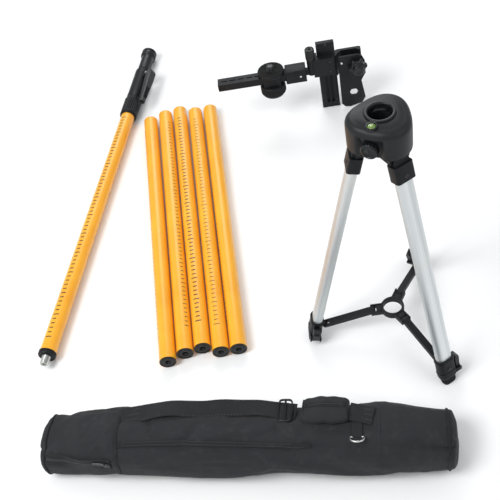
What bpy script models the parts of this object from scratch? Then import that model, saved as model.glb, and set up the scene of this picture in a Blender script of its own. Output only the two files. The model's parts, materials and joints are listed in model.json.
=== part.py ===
"""Laser-level support kit: small tripod, telescoping pole, extension tubes, clamp bracket and bag.

Metres, +Z up. The kit lies on the floor plane Z = 0, with the origin under the middle of its outline.
Each item is built in its own frame (an empty) and every sub-part is one closed solid.
"""

import math

import bmesh
import bpy
from mathutils import Matrix, Vector

for old in list(bpy.data.objects):
    bpy.data.objects.remove(old, do_unlink=True)

# ---------------------------------------------------------------- driving dimensions
GAP = 0.0003                      # between pieces that touch
SLIDE_GAP = 0.0005                # between pieces that slide or turn

# where each item lies on the floor, and its heading in degrees about +Z
TRIPOD_AT, TRIPOD_TURN = (0.315, -0.325), -64.1
POLE_AT, POLE_TURN = (-0.303, -0.264), 75.6
BRACKET_AT, BRACKET_TURN = (0.316, 0.294), -4.0
BAG_AT, BAG_TURN = (0.033, -0.515), -11.0
TUBE_Y = (-0.322, -0.311, -0.307, -0.322, -0.323)
TUBE_TURN = (90.55, 90.28, 90.10, 89.82, 89.62)
LAYOUT_SHIFT = (-0.0443, 0.0115)   # brings the outline's middle to the origin

# tubes shared by the pole and the extensions
TUBE_R = 0.0150
TUBE_SPACE = 0.0015               # between neighbouring tubes
TUBE_X = tuple(-0.0200 + (2 * TUBE_R + TUBE_SPACE) * step for step in (-2, -1, 0, 1, 2))
TUBE_WALL = 0.0011
TUBE_LENGTH = 0.664
TUBE_END_WALL = 0.0030
PLUG_BORE_R = 0.0050
PLUG_DEPTH = 0.034
PLUG_RIM = 0.0022

# tripod
HEAD_TOP = 0.480
HEAD_HEIGHT = 0.048
HEAD_LOBE = 0.0035
HEAD_WALL = 0.003
SOCKET_R = TUBE_R + 0.0014        # bore that takes a tube
BUSH_WALL = 0.0031
BUSH_LIP_R = SOCKET_R + 0.0051
BUSH_LIP = 0.0022
CORE_WALL = 0.0042
LEG_LEAN = 14.0
HINGE_R = SOCKET_R + 0.0176
HEAD_R = HINGE_R + 0.0105         # mean radius of the three-lobed cover
HINGE_Z = 0.428
HINGE_PIN_R = 0.003
LEG_WIDTH = 0.027
LEG_DEPTH = 0.0165
LEG_ROUND = 0.0078
TANG_WIDTH = 0.024
TANG_DEPTH = 0.014
EAR_WIDTH = 0.004
BLOCK_WIDTH = LEG_WIDTH + 0.0045
BLOCK_DEPTH = LEG_DEPTH + 0.0040
BLOCK_TOP = 0.013                 # below the hinge pin, along the leg
BLOCK_END = 0.040
LEG_WALL = 0.0014
LEG_START = 0.020
LEG_END = 0.402
INNER_WIDTH = LEG_WIDTH - 0.0055
INNER_DEPTH = LEG_DEPTH - 0.0055
INNER_ROUND = 0.0050
INNER_START = LEG_END - 0.232
CLAMP_WIDTH = LEG_WIDTH + 0.0045
CLAMP_DEPTH = LEG_DEPTH + 0.0050
CLAMP_ROUND = 0.0090
CLAMP_HEIGHT = 0.0275
FOOT_WIDTH = INNER_WIDTH + 0.0035
FOOT_DEPTH = INNER_DEPTH + 0.0050
FOOT_ROUND = 0.0060
LEVER_THICK = 0.0055
LEVER_WIDTH = 0.0130
LEVER_LENGTH = 0.0270
PIVOT_Z = 0.030                   # spreader arm pivots, inboard of the legs
PIVOT_INBOARD = 0.0168
PIVOT_PIN_R = 0.0020
ARM_RISE = 14.0
ARM_WIDTH = 0.0110
ARM_HEIGHT = 0.0085
ARM_WALL = 0.0020
HUB_BORE_R = TUBE_R + 0.0008
HUB_R = HUB_BORE_R + 0.0037
HUB_PIVOT_R = HUB_R + 0.0135
HUB_HEIGHT = 0.012
VIAL_R = 0.0070
VIAL_AT = SOCKET_R + 0.0128
VIAL_HEIGHT = 0.010
KNOB_R = 0.0125
KNOB_AT = SOCKET_R + 0.0181       # inner face of the head knob, from the socket's axis
KNOB_LENGTH = 0.0125
KNOB_SHAFT_R = 0.0035
PAD_R = 0.0055
PAD_LENGTH = 0.0065

# telescoping pole, stations along its own axis from the end ring's outer face
END_RING_R = TUBE_R + 0.0013
END_RING_LENGTH = 0.008
STUD_R = 0.0077
STUD_BORE_R = 0.0040
STUD_LENGTH = 0.017
STUD_RECESS = 0.0035
COLLAR_R = TUBE_R + 0.0040
POLE_Z = COLLAR_R + 0.0002
COLLAR_OVERLAP = 0.014            # collar over the tube's end
COLLAR_LENGTH = 0.058
COLLAR_RIBS = 12
HOUSING_R = TUBE_R + 0.0020
HOUSING_LENGTH = 0.106
MAST_R = TUBE_R - 0.0025
MAST_WALL = 0.0012
MAST_HIDDEN = 0.420
CAP_SLEEVE_R = MAST_R + 0.0017
CAP_SLEEVE = 0.054
CAP_R = MAST_R + 0.0055
CAP_LENGTH = 0.019
CAP_END_WALL = 0.0040
POLE_LEVER_LENGTH = 0.112
POLE_LEVER_OUT = HOUSING_R + 0.0060   # lever pivot, from the pole's axis
POLE_LEVER_PIN_R = 0.0025
POLE_LEVER_TANG = 0.0090
POLE_LEVER_TURN = 28.0            # above horizontal, about the pole's axis
LEVER_CLOCK = -90.0               # puts the lever's side on the pole's right, looking from its foot
LEVER_TOP = 0.0045                # how far the lever reaches past its pin; it must clear the housing

# clamp bracket, frame at the foot of the slide plate
PLATE_WIDTH = 0.038
PLATE_DEPTH = 0.012
PLATE_HEIGHT = 0.168
GROOVE_WIDTH = 0.0055
GROOVE_DEPTH = 0.004
HOOK_Z = (0.072, 0.124)
HOOK_SPACE = 2 * TUBE_R + 0.002   # room for the 30 mm tube behind the clamp plate
HOOK_THICK = 0.007
JAW_THICK = 0.0050
JAW_WIDTH = 0.056
JAW_HEIGHT = 0.134
HEX_WINDOW_R = 0.0098
STAR_R = 0.0200
STAR_LOBES = 6
STAR_HEIGHT = 0.013
SCREW_R = 0.0035
BLOCK_HEIGHT = 0.044
BLOCK_Z = 0.098
SLIDE_BLOCK_DEPTH = 0.016
BOSS_R = 0.0088
LOCK_SCREW_R = 0.0100
LOCK_SCREW_HEIGHT = 0.024
RAIL_BLOCK = (0.044, 0.030, 0.030)
RAIL_LENGTH = 0.160
RAIL_WIDTH = 0.024
RAIL_HEIGHT = 0.016
RAIL_WALL = 0.0035
RAIL_SLOTS = 7
RAIL_SLOT_PITCH = 0.018
RAIL_Z = 0.112
TONGUE_THICK = 0.010
TONGUE_HIGH = 0.013
TILT_PIN_R = 0.0030
PLATFORM_R = 0.0280
PLATFORM_THICK = 0.006
PLATFORM_CLEAR = 0.0015           # between the platform's disc and the rail block
SADDLE_WIDTH = 0.036
WHEEL_R = 0.0270
WHEEL_HEIGHT = 0.026
WHEEL_RIBS = 12
STUD_MOUNT_R = 0.0079             # five-eighths inch stud
STUD_MOUNT_HEIGHT = 0.011

# bag
BAG_LENGTH = 0.655
BAG_WIDTH = 0.112
BAG_HEIGHT = 0.088
STRAP_WIDTH = 0.034
STRAP_THICK = 0.003
STRAP_Y = 0.030                   # strap's middle, behind the bag's own
STRAP_FROM, STRAP_TO = -0.186, 0.206
PAD_FROM, PAD_TO = 0.094, 0.172

# sides of the round pieces
COVER_SIDES = 42
HEAD_SIDES = 30
RIBBED_SIDES = 48
ROUND_SIDES = 24
PLUG_SIDES = 20
HOLE_SIDES = 14


# ---------------------------------------------------------------- helpers
def material(name, colour, roughness, metallic=0.0):
    made = bpy.data.materials.new(name)
    made.use_nodes = True
    shader = made.node_tree.nodes["Principled BSDF"]
    shader.inputs["Base Color"].default_value = (*colour, 1.0)
    shader.inputs["Roughness"].default_value = roughness
    shader.inputs["Metallic"].default_value = metallic
    return made


BLACK = (0.018, 0.020, 0.022)
ALUMINIUM = (0.62, 0.64, 0.65)
YELLOW = (0.86, 0.44, 0.03)
ZINC = (0.55, 0.56, 0.55)
CLOTH = (0.035, 0.036, 0.040)


def frame(name, matrix, parent=None):
    """An empty that holds one item's or one joint's frame."""
    empty = bpy.data.objects.new(name, None)
    bpy.context.scene.collection.objects.link(empty)
    empty.parent = parent
    empty.matrix_local = matrix
    return empty


def solid(name, verts, faces, parent, matrix, finish, cutter=False):
    """One mesh object with its normals outwards and its round faces smooth."""
    mesh = bpy.data.meshes.new(name)
    mesh.from_pydata([tuple(v) for v in verts], [], faces)
    shell = bmesh.new()
    shell.from_mesh(mesh)
    bmesh.ops.recalc_face_normals(shell, faces=shell.faces)
    shell.to_mesh(mesh)
    shell.free()
    made = bpy.data.objects.new(name, mesh)
    bpy.context.scene.collection.objects.link(made)
    made.parent = parent
    made.matrix_local = matrix
    if cutter:
        made.hide_render = True
        made.display_type = "WIRE"
        return made
    mesh.materials.append(material(name, *finish))
    mesh.shade_smooth()
    mesh.set_sharp_from_angle(angle=math.radians(32))
    return made


def boolean(target, tool, operation="DIFFERENCE"):
    step = target.modifiers.new(tool.name, "BOOLEAN")
    step.operation = operation
    step.object = tool
    return target


def bevel(target, width, segments=2):
    step = target.modifiers.new("edges", "BEVEL")
    step.width = width
    step.segments = segments
    step.limit_method = "ANGLE"
    step.angle_limit = math.radians(40)
    return target


def sweep(rings, closed):
    """Vertices and faces that join rings of equal length. closed joins the last ring to the
    first; otherwise the first and last rings are capped."""
    count = len(rings[0])
    verts = [point for ring in rings for point in ring]
    faces = []
    last = len(rings) if closed else len(rings) - 1
    for level in range(last):
        low = level * count
        high = (level + 1) % len(rings) * count
        for i in range(count):
            j = (i + 1) % count
            faces.append((low + i, low + j, high + j, high + i))
    if not closed:
        faces.append(tuple(range(count)))
        faces.append(tuple(range(len(verts) - count, len(verts))))
    return verts, faces


def circle(radius, z, count):
    """A ring about Z; radius may be a number or a function of the angle."""
    points = []
    for i in range(count):
        angle = 2 * math.pi * i / count
        r = radius(angle) if callable(radius) else radius
        points.append(Vector((r * math.cos(angle), r * math.sin(angle), z)))
    return points


def turned(profile, count, closed=False):
    """profile is a list of (radius, z) from one end to the other."""
    return sweep([circle(r, z, count) for r, z in profile], closed)


def cup(inside, outside, count):
    """A turned cup: the inner wall from mouth to floor, and the outer wall from mouth to closed end."""
    return turned(inside[::-1] + outside, count)


def tube_profile(outer, inner, low, high):
    return [(outer, low), (outer, high), (inner, high), (inner, low)]


def round_rect(width, depth, corner, steps=3):
    """Outline with round corners, anticlockwise, in X (depth) and Y (width)."""
    points = []
    for quarter in range(4):
        sx = 1 if quarter in (0, 3) else -1
        sy = 1 if quarter in (0, 1) else -1
        cx = sx * (depth / 2 - corner)
        cy = sy * (width / 2 - corner)
        for k in range(steps + 1):
            angle = math.pi / 2 * (quarter + k / steps)
            points.append((cx + corner * math.cos(angle), cy + corner * math.sin(angle)))
    return points


def at_z(outline, z):
    return [Vector((x, y, z)) for x, y in outline]


def prism(outline, low, high):
    return sweep([at_z(outline, low), at_z(outline, high)], False)


def box(low, high):
    outline = [(low[0], low[1]), (high[0], low[1]), (high[0], high[1]), (low[0], high[1])]
    return prism(outline, low[2], high[2])


def along(axis):
    """Rotation that takes +Z to the given axis, with a fixed choice of roll."""
    turn = {"X": Matrix.Rotation(math.pi / 2, 4, "Y"), "Y": Matrix.Rotation(-math.pi / 2, 4, "X")}
    return turn[axis]


def move(x=0.0, y=0.0, z=0.0):
    return Matrix.Translation((x, y, z))


def turn(degrees, axis="Z"):
    return Matrix.Rotation(math.radians(degrees), 4, axis)


HERE = Matrix.Identity(4)
PLASTIC = (BLACK, 0.45)
METAL = (ALUMINIUM, 0.34, 1.0)
PAINT = (YELLOW, 0.36)
kit = frame("kit", move(LAYOUT_SHIFT[0], LAYOUT_SHIFT[1]))


# ---------------------------------------------------------------- tripod head
tripod = frame("tripod", move(TRIPOD_AT[0], TRIPOD_AT[1]) @ turn(TRIPOD_TURN), kit)
HEAD_LOW = HEAD_TOP - HEAD_HEIGHT
BUSH_R = SOCKET_R + BUSH_WALL
CORE_BORE = BUSH_R + GAP
CORE_R = CORE_BORE + CORE_WALL
VIAL_LOW = HEAD_TOP + 0.0008 - VIAL_HEIGHT
CORE_TOP = VIAL_LOW - GAP
EAR_IN = TANG_WIDTH / 2 + SLIDE_GAP
EAR_OUT = EAR_IN + EAR_WIDTH
EAR_LOW = HINGE_Z - 0.008
EAR_HIGH = HINGE_Z + 0.012
KNOB_TURN = -60.0                 # between the first and the last leg
KNOB_Z = HEAD_TOP - 0.032


def lobed(offset):
    """Radius of the cover's outline at an angle, moved in by offset: one lobe over each leg."""
    return lambda angle: HEAD_R + HEAD_LOBE * math.cos(3 * angle) - offset


def head_cover():
    rim = [
        (lobed(0.0), HEAD_LOW), (lobed(0.0), HEAD_TOP - 0.010), (lobed(0.0012), HEAD_TOP - 0.005),
        (lobed(0.0040), HEAD_TOP - 0.0016), (lobed(0.0090), HEAD_TOP),
        (CORE_BORE, HEAD_TOP), (CORE_BORE, HEAD_TOP - HEAD_WALL),
        (lobed(0.0110), HEAD_TOP - HEAD_WALL), (lobed(0.0055), HEAD_TOP - 0.0060),
        (lobed(HEAD_WALL), HEAD_TOP - 0.0115), (lobed(HEAD_WALL), HEAD_LOW),
    ]
    rings = [circle(r, z, COVER_SIDES) for r, z in rim]
    cover = solid("head_cover", *sweep(rings, True), tripod, HERE, PLASTIC)
    wide = KNOB_R + 0.005
    recess = solid(
        "recess_cutter", *box((0.030, -wide, KNOB_Z - 0.022), (0.060, wide, KNOB_Z + KNOB_R + 0.0025)),
        tripod, turn(KNOB_TURN), PLASTIC, True)
    drill = turned([(VIAL_R + GAP, HEAD_TOP - 0.012), (VIAL_R + GAP, HEAD_TOP + 0.010)], PLUG_SIDES)
    vial_hole = solid(
        "vial_cutter", *drill, tripod, turn(KNOB_TURN) @ move(VIAL_AT), PLASTIC, True)
    boolean(cover, recess)
    boolean(cover, vial_hole)


def head_base():
    core = solid(
        "head_base", *turned(tube_profile(CORE_R, CORE_BORE, EAR_LOW, CORE_TOP), HEAD_SIDES, True),
        tripod, HERE, PLASTIC)
    ear_root = math.sqrt((CORE_BORE + 0.001) ** 2 - EAR_IN ** 2)
    for leg in range(3):
        for side in (-1, 1):
            inner, outer = sorted((side * EAR_IN, side * EAR_OUT))
            slab = box((ear_root, inner, EAR_LOW - 0.001), (HINGE_R + 0.0042, outer, EAR_HIGH))
            ear = solid(f"ear_{leg}_{side}", *slab, tripod, turn(120 * leg), PLASTIC, True)
            boolean(core, ear, "UNION")
        hole = solid(
            f"ear_hole_{leg}",
            *turned([(HINGE_PIN_R + GAP, -0.030), (HINGE_PIN_R + GAP, 0.030)], HOLE_SIDES),
            tripod, turn(120 * leg) @ move(HINGE_R, 0, HINGE_Z) @ along("Y"), PLASTIC, True)
        boolean(core, hole)
    screw_hole = solid(
        "screw_hole_cutter", *turned([(PAD_R + GAP, 0.010), (PAD_R + GAP, 0.040)], PLUG_SIDES),
        tripod, turn(KNOB_TURN) @ move(0, 0, KNOB_Z) @ along("X"), PLASTIC, True)
    boolean(core, screw_hole)


def collar_bush():
    low = EAR_LOW + 0.002
    lip = HEAD_TOP + GAP
    profile = [
        (BUSH_R, low), (BUSH_R, lip), (BUSH_LIP_R, lip), (BUSH_LIP_R, lip + BUSH_LIP * 0.6),
        (BUSH_LIP_R - 0.0012, lip + BUSH_LIP), (SOCKET_R + 0.0008, lip + BUSH_LIP),
        (SOCKET_R, lip + BUSH_LIP * 0.5), (SOCKET_R, low),
    ]
    bush = solid("collar_bush", *turned(profile, HEAD_SIDES, True), tripod, HERE, PLASTIC)
    window = solid(
        "window_cutter", *turned([(PAD_R + GAP, 0.010), (PAD_R + GAP, 0.030)], PLUG_SIDES),
        tripod, turn(KNOB_TURN) @ move(0, 0, KNOB_Z) @ along("X"), PLASTIC, True)
    boolean(bush, window)


def head_small_parts():
    vial = [(VIAL_R, VIAL_LOW), (VIAL_R, HEAD_TOP), (VIAL_R - 0.001, HEAD_TOP + 0.0008)]
    solid(
        "level_vial", *turned(vial, PLUG_SIDES), tripod, turn(KNOB_TURN) @ move(VIAL_AT),
        ((0.40, 0.62, 0.12), 0.15))
    axis = frame("knob_axis", turn(KNOB_TURN) @ move(0, 0, KNOB_Z) @ along("X"), tripod)
    pad_in = SOCKET_R + 0.0003
    pad_out = pad_in + PAD_LENGTH
    solid("clamp_pad", *turned([(PAD_R, pad_in), (PAD_R, pad_out)], PLUG_SIDES), axis, HERE, PLASTIC)
    shaft = pad_out + GAP
    knob = [
        (KNOB_SHAFT_R, shaft), (KNOB_SHAFT_R, KNOB_AT),
        (KNOB_R - 0.001, KNOB_AT), (KNOB_R, KNOB_AT + 0.001),
        (KNOB_R, KNOB_AT + KNOB_LENGTH - 0.003), (KNOB_R - 0.003, KNOB_AT + KNOB_LENGTH),
    ]
    solid("head_knob", *turned(knob, PLUG_SIDES), axis, HERE, PLASTIC)


# ---------------------------------------------------------------- tripod legs
LEAN = math.radians(LEG_LEAN)
CLAMP_START = LEG_END - 0.0005
CLAMP_END = CLAMP_START + CLAMP_HEIGHT
FOOT_START = CLAMP_END + SLIDE_GAP
LEG_SOLE = HINGE_Z / math.cos(LEAN)
PIVOT_RADIUS = HINGE_R + (HINGE_Z - PIVOT_Z) * math.tan(LEAN) - PIVOT_INBOARD
PIVOT_FALL = (PIVOT_RADIUS - HINGE_R) * math.sin(LEAN) + (HINGE_Z - PIVOT_Z) * math.cos(LEAN)
PIVOT_OUT = (PIVOT_RADIUS - HINGE_R) * math.cos(LEAN) - (HINGE_Z - PIVOT_Z) * math.sin(LEAN)
ARM_LENGTH = (PIVOT_RADIUS - HUB_PIVOT_R) / math.cos(math.radians(ARM_RISE))
HUB_Z = PIVOT_Z + ARM_LENGTH * math.sin(math.radians(ARM_RISE))
LEVER_DOWN = CLAMP_END - 0.006    # lever pivot, along the leg
LEVER_SIDE = CLAMP_WIDTH / 2 + 0.0052
LEVER_PIN_R = 0.0016


def cross_pin(name, radius, half, parent, matrix):
    """A solid pin along Y, to be joined to its piece."""
    pin = turned([(radius, -half), (radius, half)], HOLE_SIDES)
    return solid(name, *pin, parent, matrix @ along("Y"), PLASTIC, True)


def leg(letter, index):
    hinge = frame(
        f"leg_{letter}", turn(120 * index) @ move(HINGE_R, 0, HINGE_Z) @ turn(-LEG_LEAN, "Y"), tripod)
    bore = round_rect(LEG_WIDTH + 2 * GAP, LEG_DEPTH + 2 * GAP, LEG_ROUND)

    block = solid(
        f"hinge_block_{letter}",
        *sweep([at_z(round_rect(BLOCK_WIDTH, BLOCK_DEPTH, 0.004), -BLOCK_TOP),
                at_z(round_rect(BLOCK_WIDTH, BLOCK_DEPTH, 0.004), -BLOCK_END)], False),
        hinge, HERE, PLASTIC)
    half = TANG_DEPTH / 2
    tang = [Vector((half * math.cos(a), 0, half * math.sin(a)))
            for a in [math.pi * k / 8 for k in range(9)]]
    tang += [Vector((-half, 0, -BLOCK_TOP - 0.004)), Vector((half, 0, -BLOCK_TOP - 0.004))]
    sides = [[p + Vector((0, y, 0)) for p in tang] for y in (-TANG_WIDTH / 2, TANG_WIDTH / 2)]
    boolean(block, solid(f"tang_{letter}", *sweep(sides, False), hinge, HERE, PLASTIC, True), "UNION")
    boolean(block, cross_pin(f"hinge_pin_{letter}", HINGE_PIN_R, EAR_OUT - 0.0005, hinge, HERE), "UNION")
    socket = prism(bore, -LEG_START + GAP, -BLOCK_END - 0.010)
    boolean(block, solid(f"socket_{letter}", *socket, hinge, HERE, PLASTIC, True))

    outer = round_rect(LEG_WIDTH, LEG_DEPTH, LEG_ROUND)
    inner = round_rect(LEG_WIDTH - 2 * LEG_WALL, LEG_DEPTH - 2 * LEG_WALL, LEG_ROUND - LEG_WALL)
    rings = [
        at_z(outer, -LEG_START), at_z(outer, -LEG_END),
        at_z(inner, -LEG_END), at_z(inner, -LEG_START),
    ]
    solid(f"leg_tube_{letter}", *sweep(rings, True), hinge, HERE, METAL)

    leg_clamp(letter, hinge)
    lock_lever(letter, hinge)
    slide = frame(f"leg_slide_{letter}", HERE, hinge)
    wall = 0.0013
    outer = round_rect(INNER_WIDTH, INNER_DEPTH, INNER_ROUND)
    inner = round_rect(INNER_WIDTH - 2 * wall, INNER_DEPTH - 2 * wall, INNER_ROUND - wall)
    tip = FOOT_START + 0.004
    rings = [at_z(outer, -INNER_START), at_z(outer, -tip), at_z(inner, -tip), at_z(inner, -INNER_START)]
    solid(f"inner_leg_{letter}", *sweep(rings, True), slide, HERE, METAL)
    rubber_foot(letter, slide, tip)


def leg_clamp(letter, hinge):
    """The collar under the leg tube: the tube's end sits in it, and the inner leg passes through."""
    tube_seat = LEG_END - 0.0125
    outline = round_rect(CLAMP_WIDTH, CLAMP_DEPTH, CLAMP_ROUND)
    low_outline = round_rect(CLAMP_WIDTH - 0.002, CLAMP_DEPTH - 0.002, CLAMP_ROUND - 0.001)
    rings = [at_z(outline, -tube_seat), at_z(outline, -CLAMP_END + 0.003), at_z(low_outline, -CLAMP_END)]
    clamp = solid(f"foot_clamp_{letter}", *sweep(rings, False), hinge, HERE, PLASTIC)
    lug_half = ARM_WIDTH / 2 - ARM_WALL - SLIDE_GAP
    nose = [Vector((PIVOT_OUT + 0.0036 * math.cos(a), 0, -PIVOT_FALL + 0.0036 * math.sin(a)))
            for a in [math.pi / 2 + math.pi * k / 6 for k in range(7)]]
    root = -CLAMP_DEPTH / 2 + 0.002
    nose += [Vector((root, 0, -PIVOT_FALL - 0.0036)), Vector((root, 0, -PIVOT_FALL + 0.0036))]
    sides = [[p + Vector((0, y, 0)) for p in nose] for y in (-lug_half, lug_half)]
    boolean(clamp, solid(f"lug_{letter}", *sweep(sides, False), hinge, HERE, PLASTIC, True), "UNION")
    pin_at = move(PIVOT_OUT, 0, -PIVOT_FALL)
    arm_pin = cross_pin(f"arm_pin_{letter}", PIVOT_PIN_R, ARM_WIDTH / 2 + 0.0008, hinge, pin_at)
    boolean(clamp, arm_pin, "UNION")
    for side in (-1, 1):
        inner, outer = sorted((side * (LEVER_WIDTH / 2 + SLIDE_GAP), side * (LEVER_WIDTH / 2 + 0.0028)))
        ear = box(
            (inner, CLAMP_WIDTH / 2 - 0.005, -LEVER_DOWN - 0.0035),
            (outer, LEVER_SIDE + 0.0030, -LEVER_DOWN + 0.0035))
        boolean(clamp, solid(f"lever_ear_{letter}_{side}", *ear, hinge, HERE, PLASTIC, True), "UNION")
    drill = turned([(LEVER_PIN_R + GAP, -0.012), (LEVER_PIN_R + GAP, 0.012)], HOLE_SIDES)
    pin_hole = solid(
        f"lever_hole_{letter}", *drill,
        hinge, move(0, LEVER_SIDE, -LEVER_DOWN) @ along("X"), PLASTIC, True)
    boolean(clamp, pin_hole)
    seat = prism(
        round_rect(LEG_WIDTH + 2 * GAP, LEG_DEPTH + 2 * GAP, LEG_ROUND),
        -tube_seat + 0.010, -LEG_END - GAP)
    boolean(clamp, solid(f"seat_{letter}", *seat, hinge, HERE, PLASTIC, True))
    bore = prism(
        round_rect(INNER_WIDTH + 2 * SLIDE_GAP, INNER_DEPTH + 2 * SLIDE_GAP, INNER_ROUND),
        -tube_seat + 0.010, -CLAMP_END - 0.010)
    boolean(clamp, solid(f"bore_{letter}", *bore, hinge, HERE, PLASTIC, True))


def lock_lever(letter, hinge):
    """Flip lever on the collar's side, on an axis that points away from the tripod's middle."""
    axis = frame(f"lever_axis_{letter}", move(0, LEVER_SIDE, -LEVER_DOWN), hinge)
    inner = -LEVER_SIDE + CLAMP_WIDTH / 2 + SLIDE_GAP
    outer = inner + LEVER_THICK
    outline = [
        (inner, 0.004), (inner, LEVER_LENGTH - 0.006), (inner + 0.002, LEVER_LENGTH),
        (outer + 0.0012, LEVER_LENGTH), (outer + 0.0022, LEVER_LENGTH - 0.005), (outer + 0.001, 0.010),
        (0.0028, 0.0), (0.0018, -0.0024), (-0.0010, -0.0030), (inner, -0.0010),
    ]
    rings = [[Vector((x, y, z)) for y, z in outline] for x in (-LEVER_WIDTH / 2, LEVER_WIDTH / 2)]
    lever = solid(f"lock_lever_{letter}", *sweep(rings, False), axis, HERE, PLASTIC)
    reach = LEVER_WIDTH / 2 + 0.0026
    pin = solid(
        f"lever_pin_{letter}", *turned([(LEVER_PIN_R, -reach), (LEVER_PIN_R, reach)], HOLE_SIDES),
        axis, along("X"), PLASTIC, True)
    boolean(lever, pin, "UNION")


def rubber_foot(letter, slide, tip):
    """Rubber foot whose sole lies flat on the floor while the leg leans."""
    outline = round_rect(FOOT_WIDTH, FOOT_DEPTH, FOOT_ROUND)
    sole = round_rect(FOOT_WIDTH - 0.002, FOOT_DEPTH - 0.001, FOOT_ROUND)

    def slanted(points, lift):
        return [Vector((x, y, -LEG_SOLE + lift - x * math.tan(LEAN))) for x, y in points]

    rings = [at_z(outline, -FOOT_START), slanted(outline, 0.004), slanted(sole, 0.0)]
    foot = solid(f"rubber_foot_{letter}", *sweep(rings, False), slide, HERE, ((0.02, 0.02, 0.02), 0.7))
    hole = prism(
        round_rect(INNER_WIDTH + 2 * GAP, INNER_DEPTH + 2 * GAP, INNER_ROUND),
        -FOOT_START + 0.010, -tip - GAP)
    boolean(foot, solid(f"foot_hole_{letter}", *hole, slide, HERE, PLASTIC, True))


def spreader():
    hub = frame("hub_slide", move(0, 0, HUB_Z), tripod)
    half = HUB_HEIGHT / 2
    profile = [
        (HUB_R - 0.001, -half), (HUB_R, -half + 0.001), (HUB_R, half - 0.001), (HUB_R - 0.001, half),
        (HUB_BORE_R, half), (HUB_BORE_R, -half),
    ]
    ring = solid("spreader_hub", *turned(profile, ROUND_SIDES, True), hub, HERE, PLASTIC)
    ear_in = ARM_WIDTH / 2 + 0.0008
    for index, letter in enumerate("abc"):
        for side in (-1, 1):
            inner, outer = sorted((side * ear_in, side * (ear_in + 0.0026)))
            ear = box(
                (HUB_BORE_R + 0.001, inner, -half + 0.001),
                (HUB_PIVOT_R + 0.004, outer, half - 0.001))
            boolean(ring, solid(
                f"hub_ear_{letter}_{side}", *ear, hub, turn(120 * index), PLASTIC, True), "UNION")
        spreader_arm(letter, index)


def spreader_arm(letter, index):
    """U-channel, open below, on the clamp's pin. Its free end lies between the hub's ears."""
    parent = bpy.data.objects[f"leg_{letter}"]
    towards_hub = turn(LEG_LEAN, "Y") @ turn(ARM_RISE, "Y") @ turn(180, "Z")
    pivot = frame(f"arm_axis_{letter}", move(PIVOT_OUT, 0, -PIVOT_FALL) @ towards_hub, parent)
    nose = ARM_HEIGHT / 2
    half_turn = [math.pi * k / 6 for k in range(7)]
    outline = [Vector((-nose * math.sin(a), 0, nose * math.cos(a))) for a in half_turn]
    outline += [Vector((ARM_LENGTH + nose * math.sin(a), 0, -nose * math.cos(a))) for a in half_turn]
    sides = [[p + Vector((0, y, 0)) for p in outline] for y in (-ARM_WIDTH / 2, ARM_WIDTH / 2)]
    arm = solid(f"spreader_arm_{letter}", *sweep(sides, False), pivot, HERE, PLASTIC)
    cheek = ARM_WIDTH / 2 - ARM_WALL
    channel = box((-0.010, -cheek, -0.010), (ARM_LENGTH - 0.008, cheek, nose - 0.0018))
    boolean(arm, solid(f"channel_{letter}", *channel, pivot, HERE, PLASTIC, True))
    mouth = box((-0.010, -cheek, -0.010), (0.0085, cheek, 0.010))
    boolean(arm, solid(f"mouth_{letter}", *mouth, pivot, HERE, PLASTIC, True))
    drill = turned([(PIVOT_PIN_R + GAP, -0.010), (PIVOT_PIN_R + GAP, 0.010)], HOLE_SIDES)
    hole = solid(f"arm_hole_{letter}", *drill, pivot, along("Y"), PLASTIC, True)
    boolean(arm, hole)


# ---------------------------------------------------------------- tubes and pole
def hollow_tube(name, axis, low, high):
    profile = tube_profile(TUBE_R, TUBE_R - TUBE_WALL, low, high)
    return solid(name, *turned(profile, ROUND_SIDES, True), axis, HERE, PAINT)


def closed_tube(name, axis, low, high):
    """An extension tube, open for its plug at the near end and closed at the far one."""
    bore = TUBE_R - TUBE_WALL
    inside = [(bore, low), (bore, high - TUBE_END_WALL)]
    outside = [(TUBE_R, low), (TUBE_R, high - 0.0008), (TUBE_R - 0.0008, high)]
    return solid(name, *cup(inside, outside, ROUND_SIDES), axis, HERE, PAINT)


def socket_plug(name, axis):
    """Plug in the near end of a tube: a rim over the tube's wall and a blind threaded hole."""
    inside = TUBE_R - TUBE_WALL - GAP
    profile = [
        (inside - 0.001, PLUG_DEPTH), (inside, PLUG_DEPTH - 0.001), (inside, -GAP), (TUBE_R, -GAP),
        (TUBE_R, -PLUG_RIM + 0.0006), (TUBE_R - 0.0006, -PLUG_RIM), (PLUG_BORE_R + 0.0008, -PLUG_RIM),
        (PLUG_BORE_R, -PLUG_RIM + 0.0008), (PLUG_BORE_R, PLUG_DEPTH - 0.006),
    ]
    return solid(name, *turned(profile, PLUG_SIDES), axis, HERE, PLASTIC)


def extension_tubes():
    for number, (x, y, heading) in enumerate(zip(TUBE_X, TUBE_Y, TUBE_TURN), 1):
        axis = frame(
            f"tube_axis_{number}", move(x, y, TUBE_R) @ turn(heading) @ along("X"), kit)
        closed_tube(f"extension_tube_{number}", axis, 0.0, TUBE_LENGTH - PLUG_RIM)
        socket_plug(f"socket_plug_{number}", axis)


COLLAR_START = TUBE_LENGTH - COLLAR_OVERLAP
COLLAR_END = COLLAR_START + COLLAR_LENGTH
HOUSING_END = COLLAR_END + HOUSING_LENGTH
CAP_START = HOUSING_END + SLIDE_GAP
CAP_SHOULDER = CAP_START + CAP_SLEEVE
POLE_END = CAP_SHOULDER + CAP_LENGTH
LEVER_STATION = HOUSING_END - 0.024


def collar_rib(angle):
    """Grip ribs: raised for half of each pitch."""
    return COLLAR_R if math.cos(COLLAR_RIBS * angle) > -0.1 else COLLAR_R - 0.0011


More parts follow.
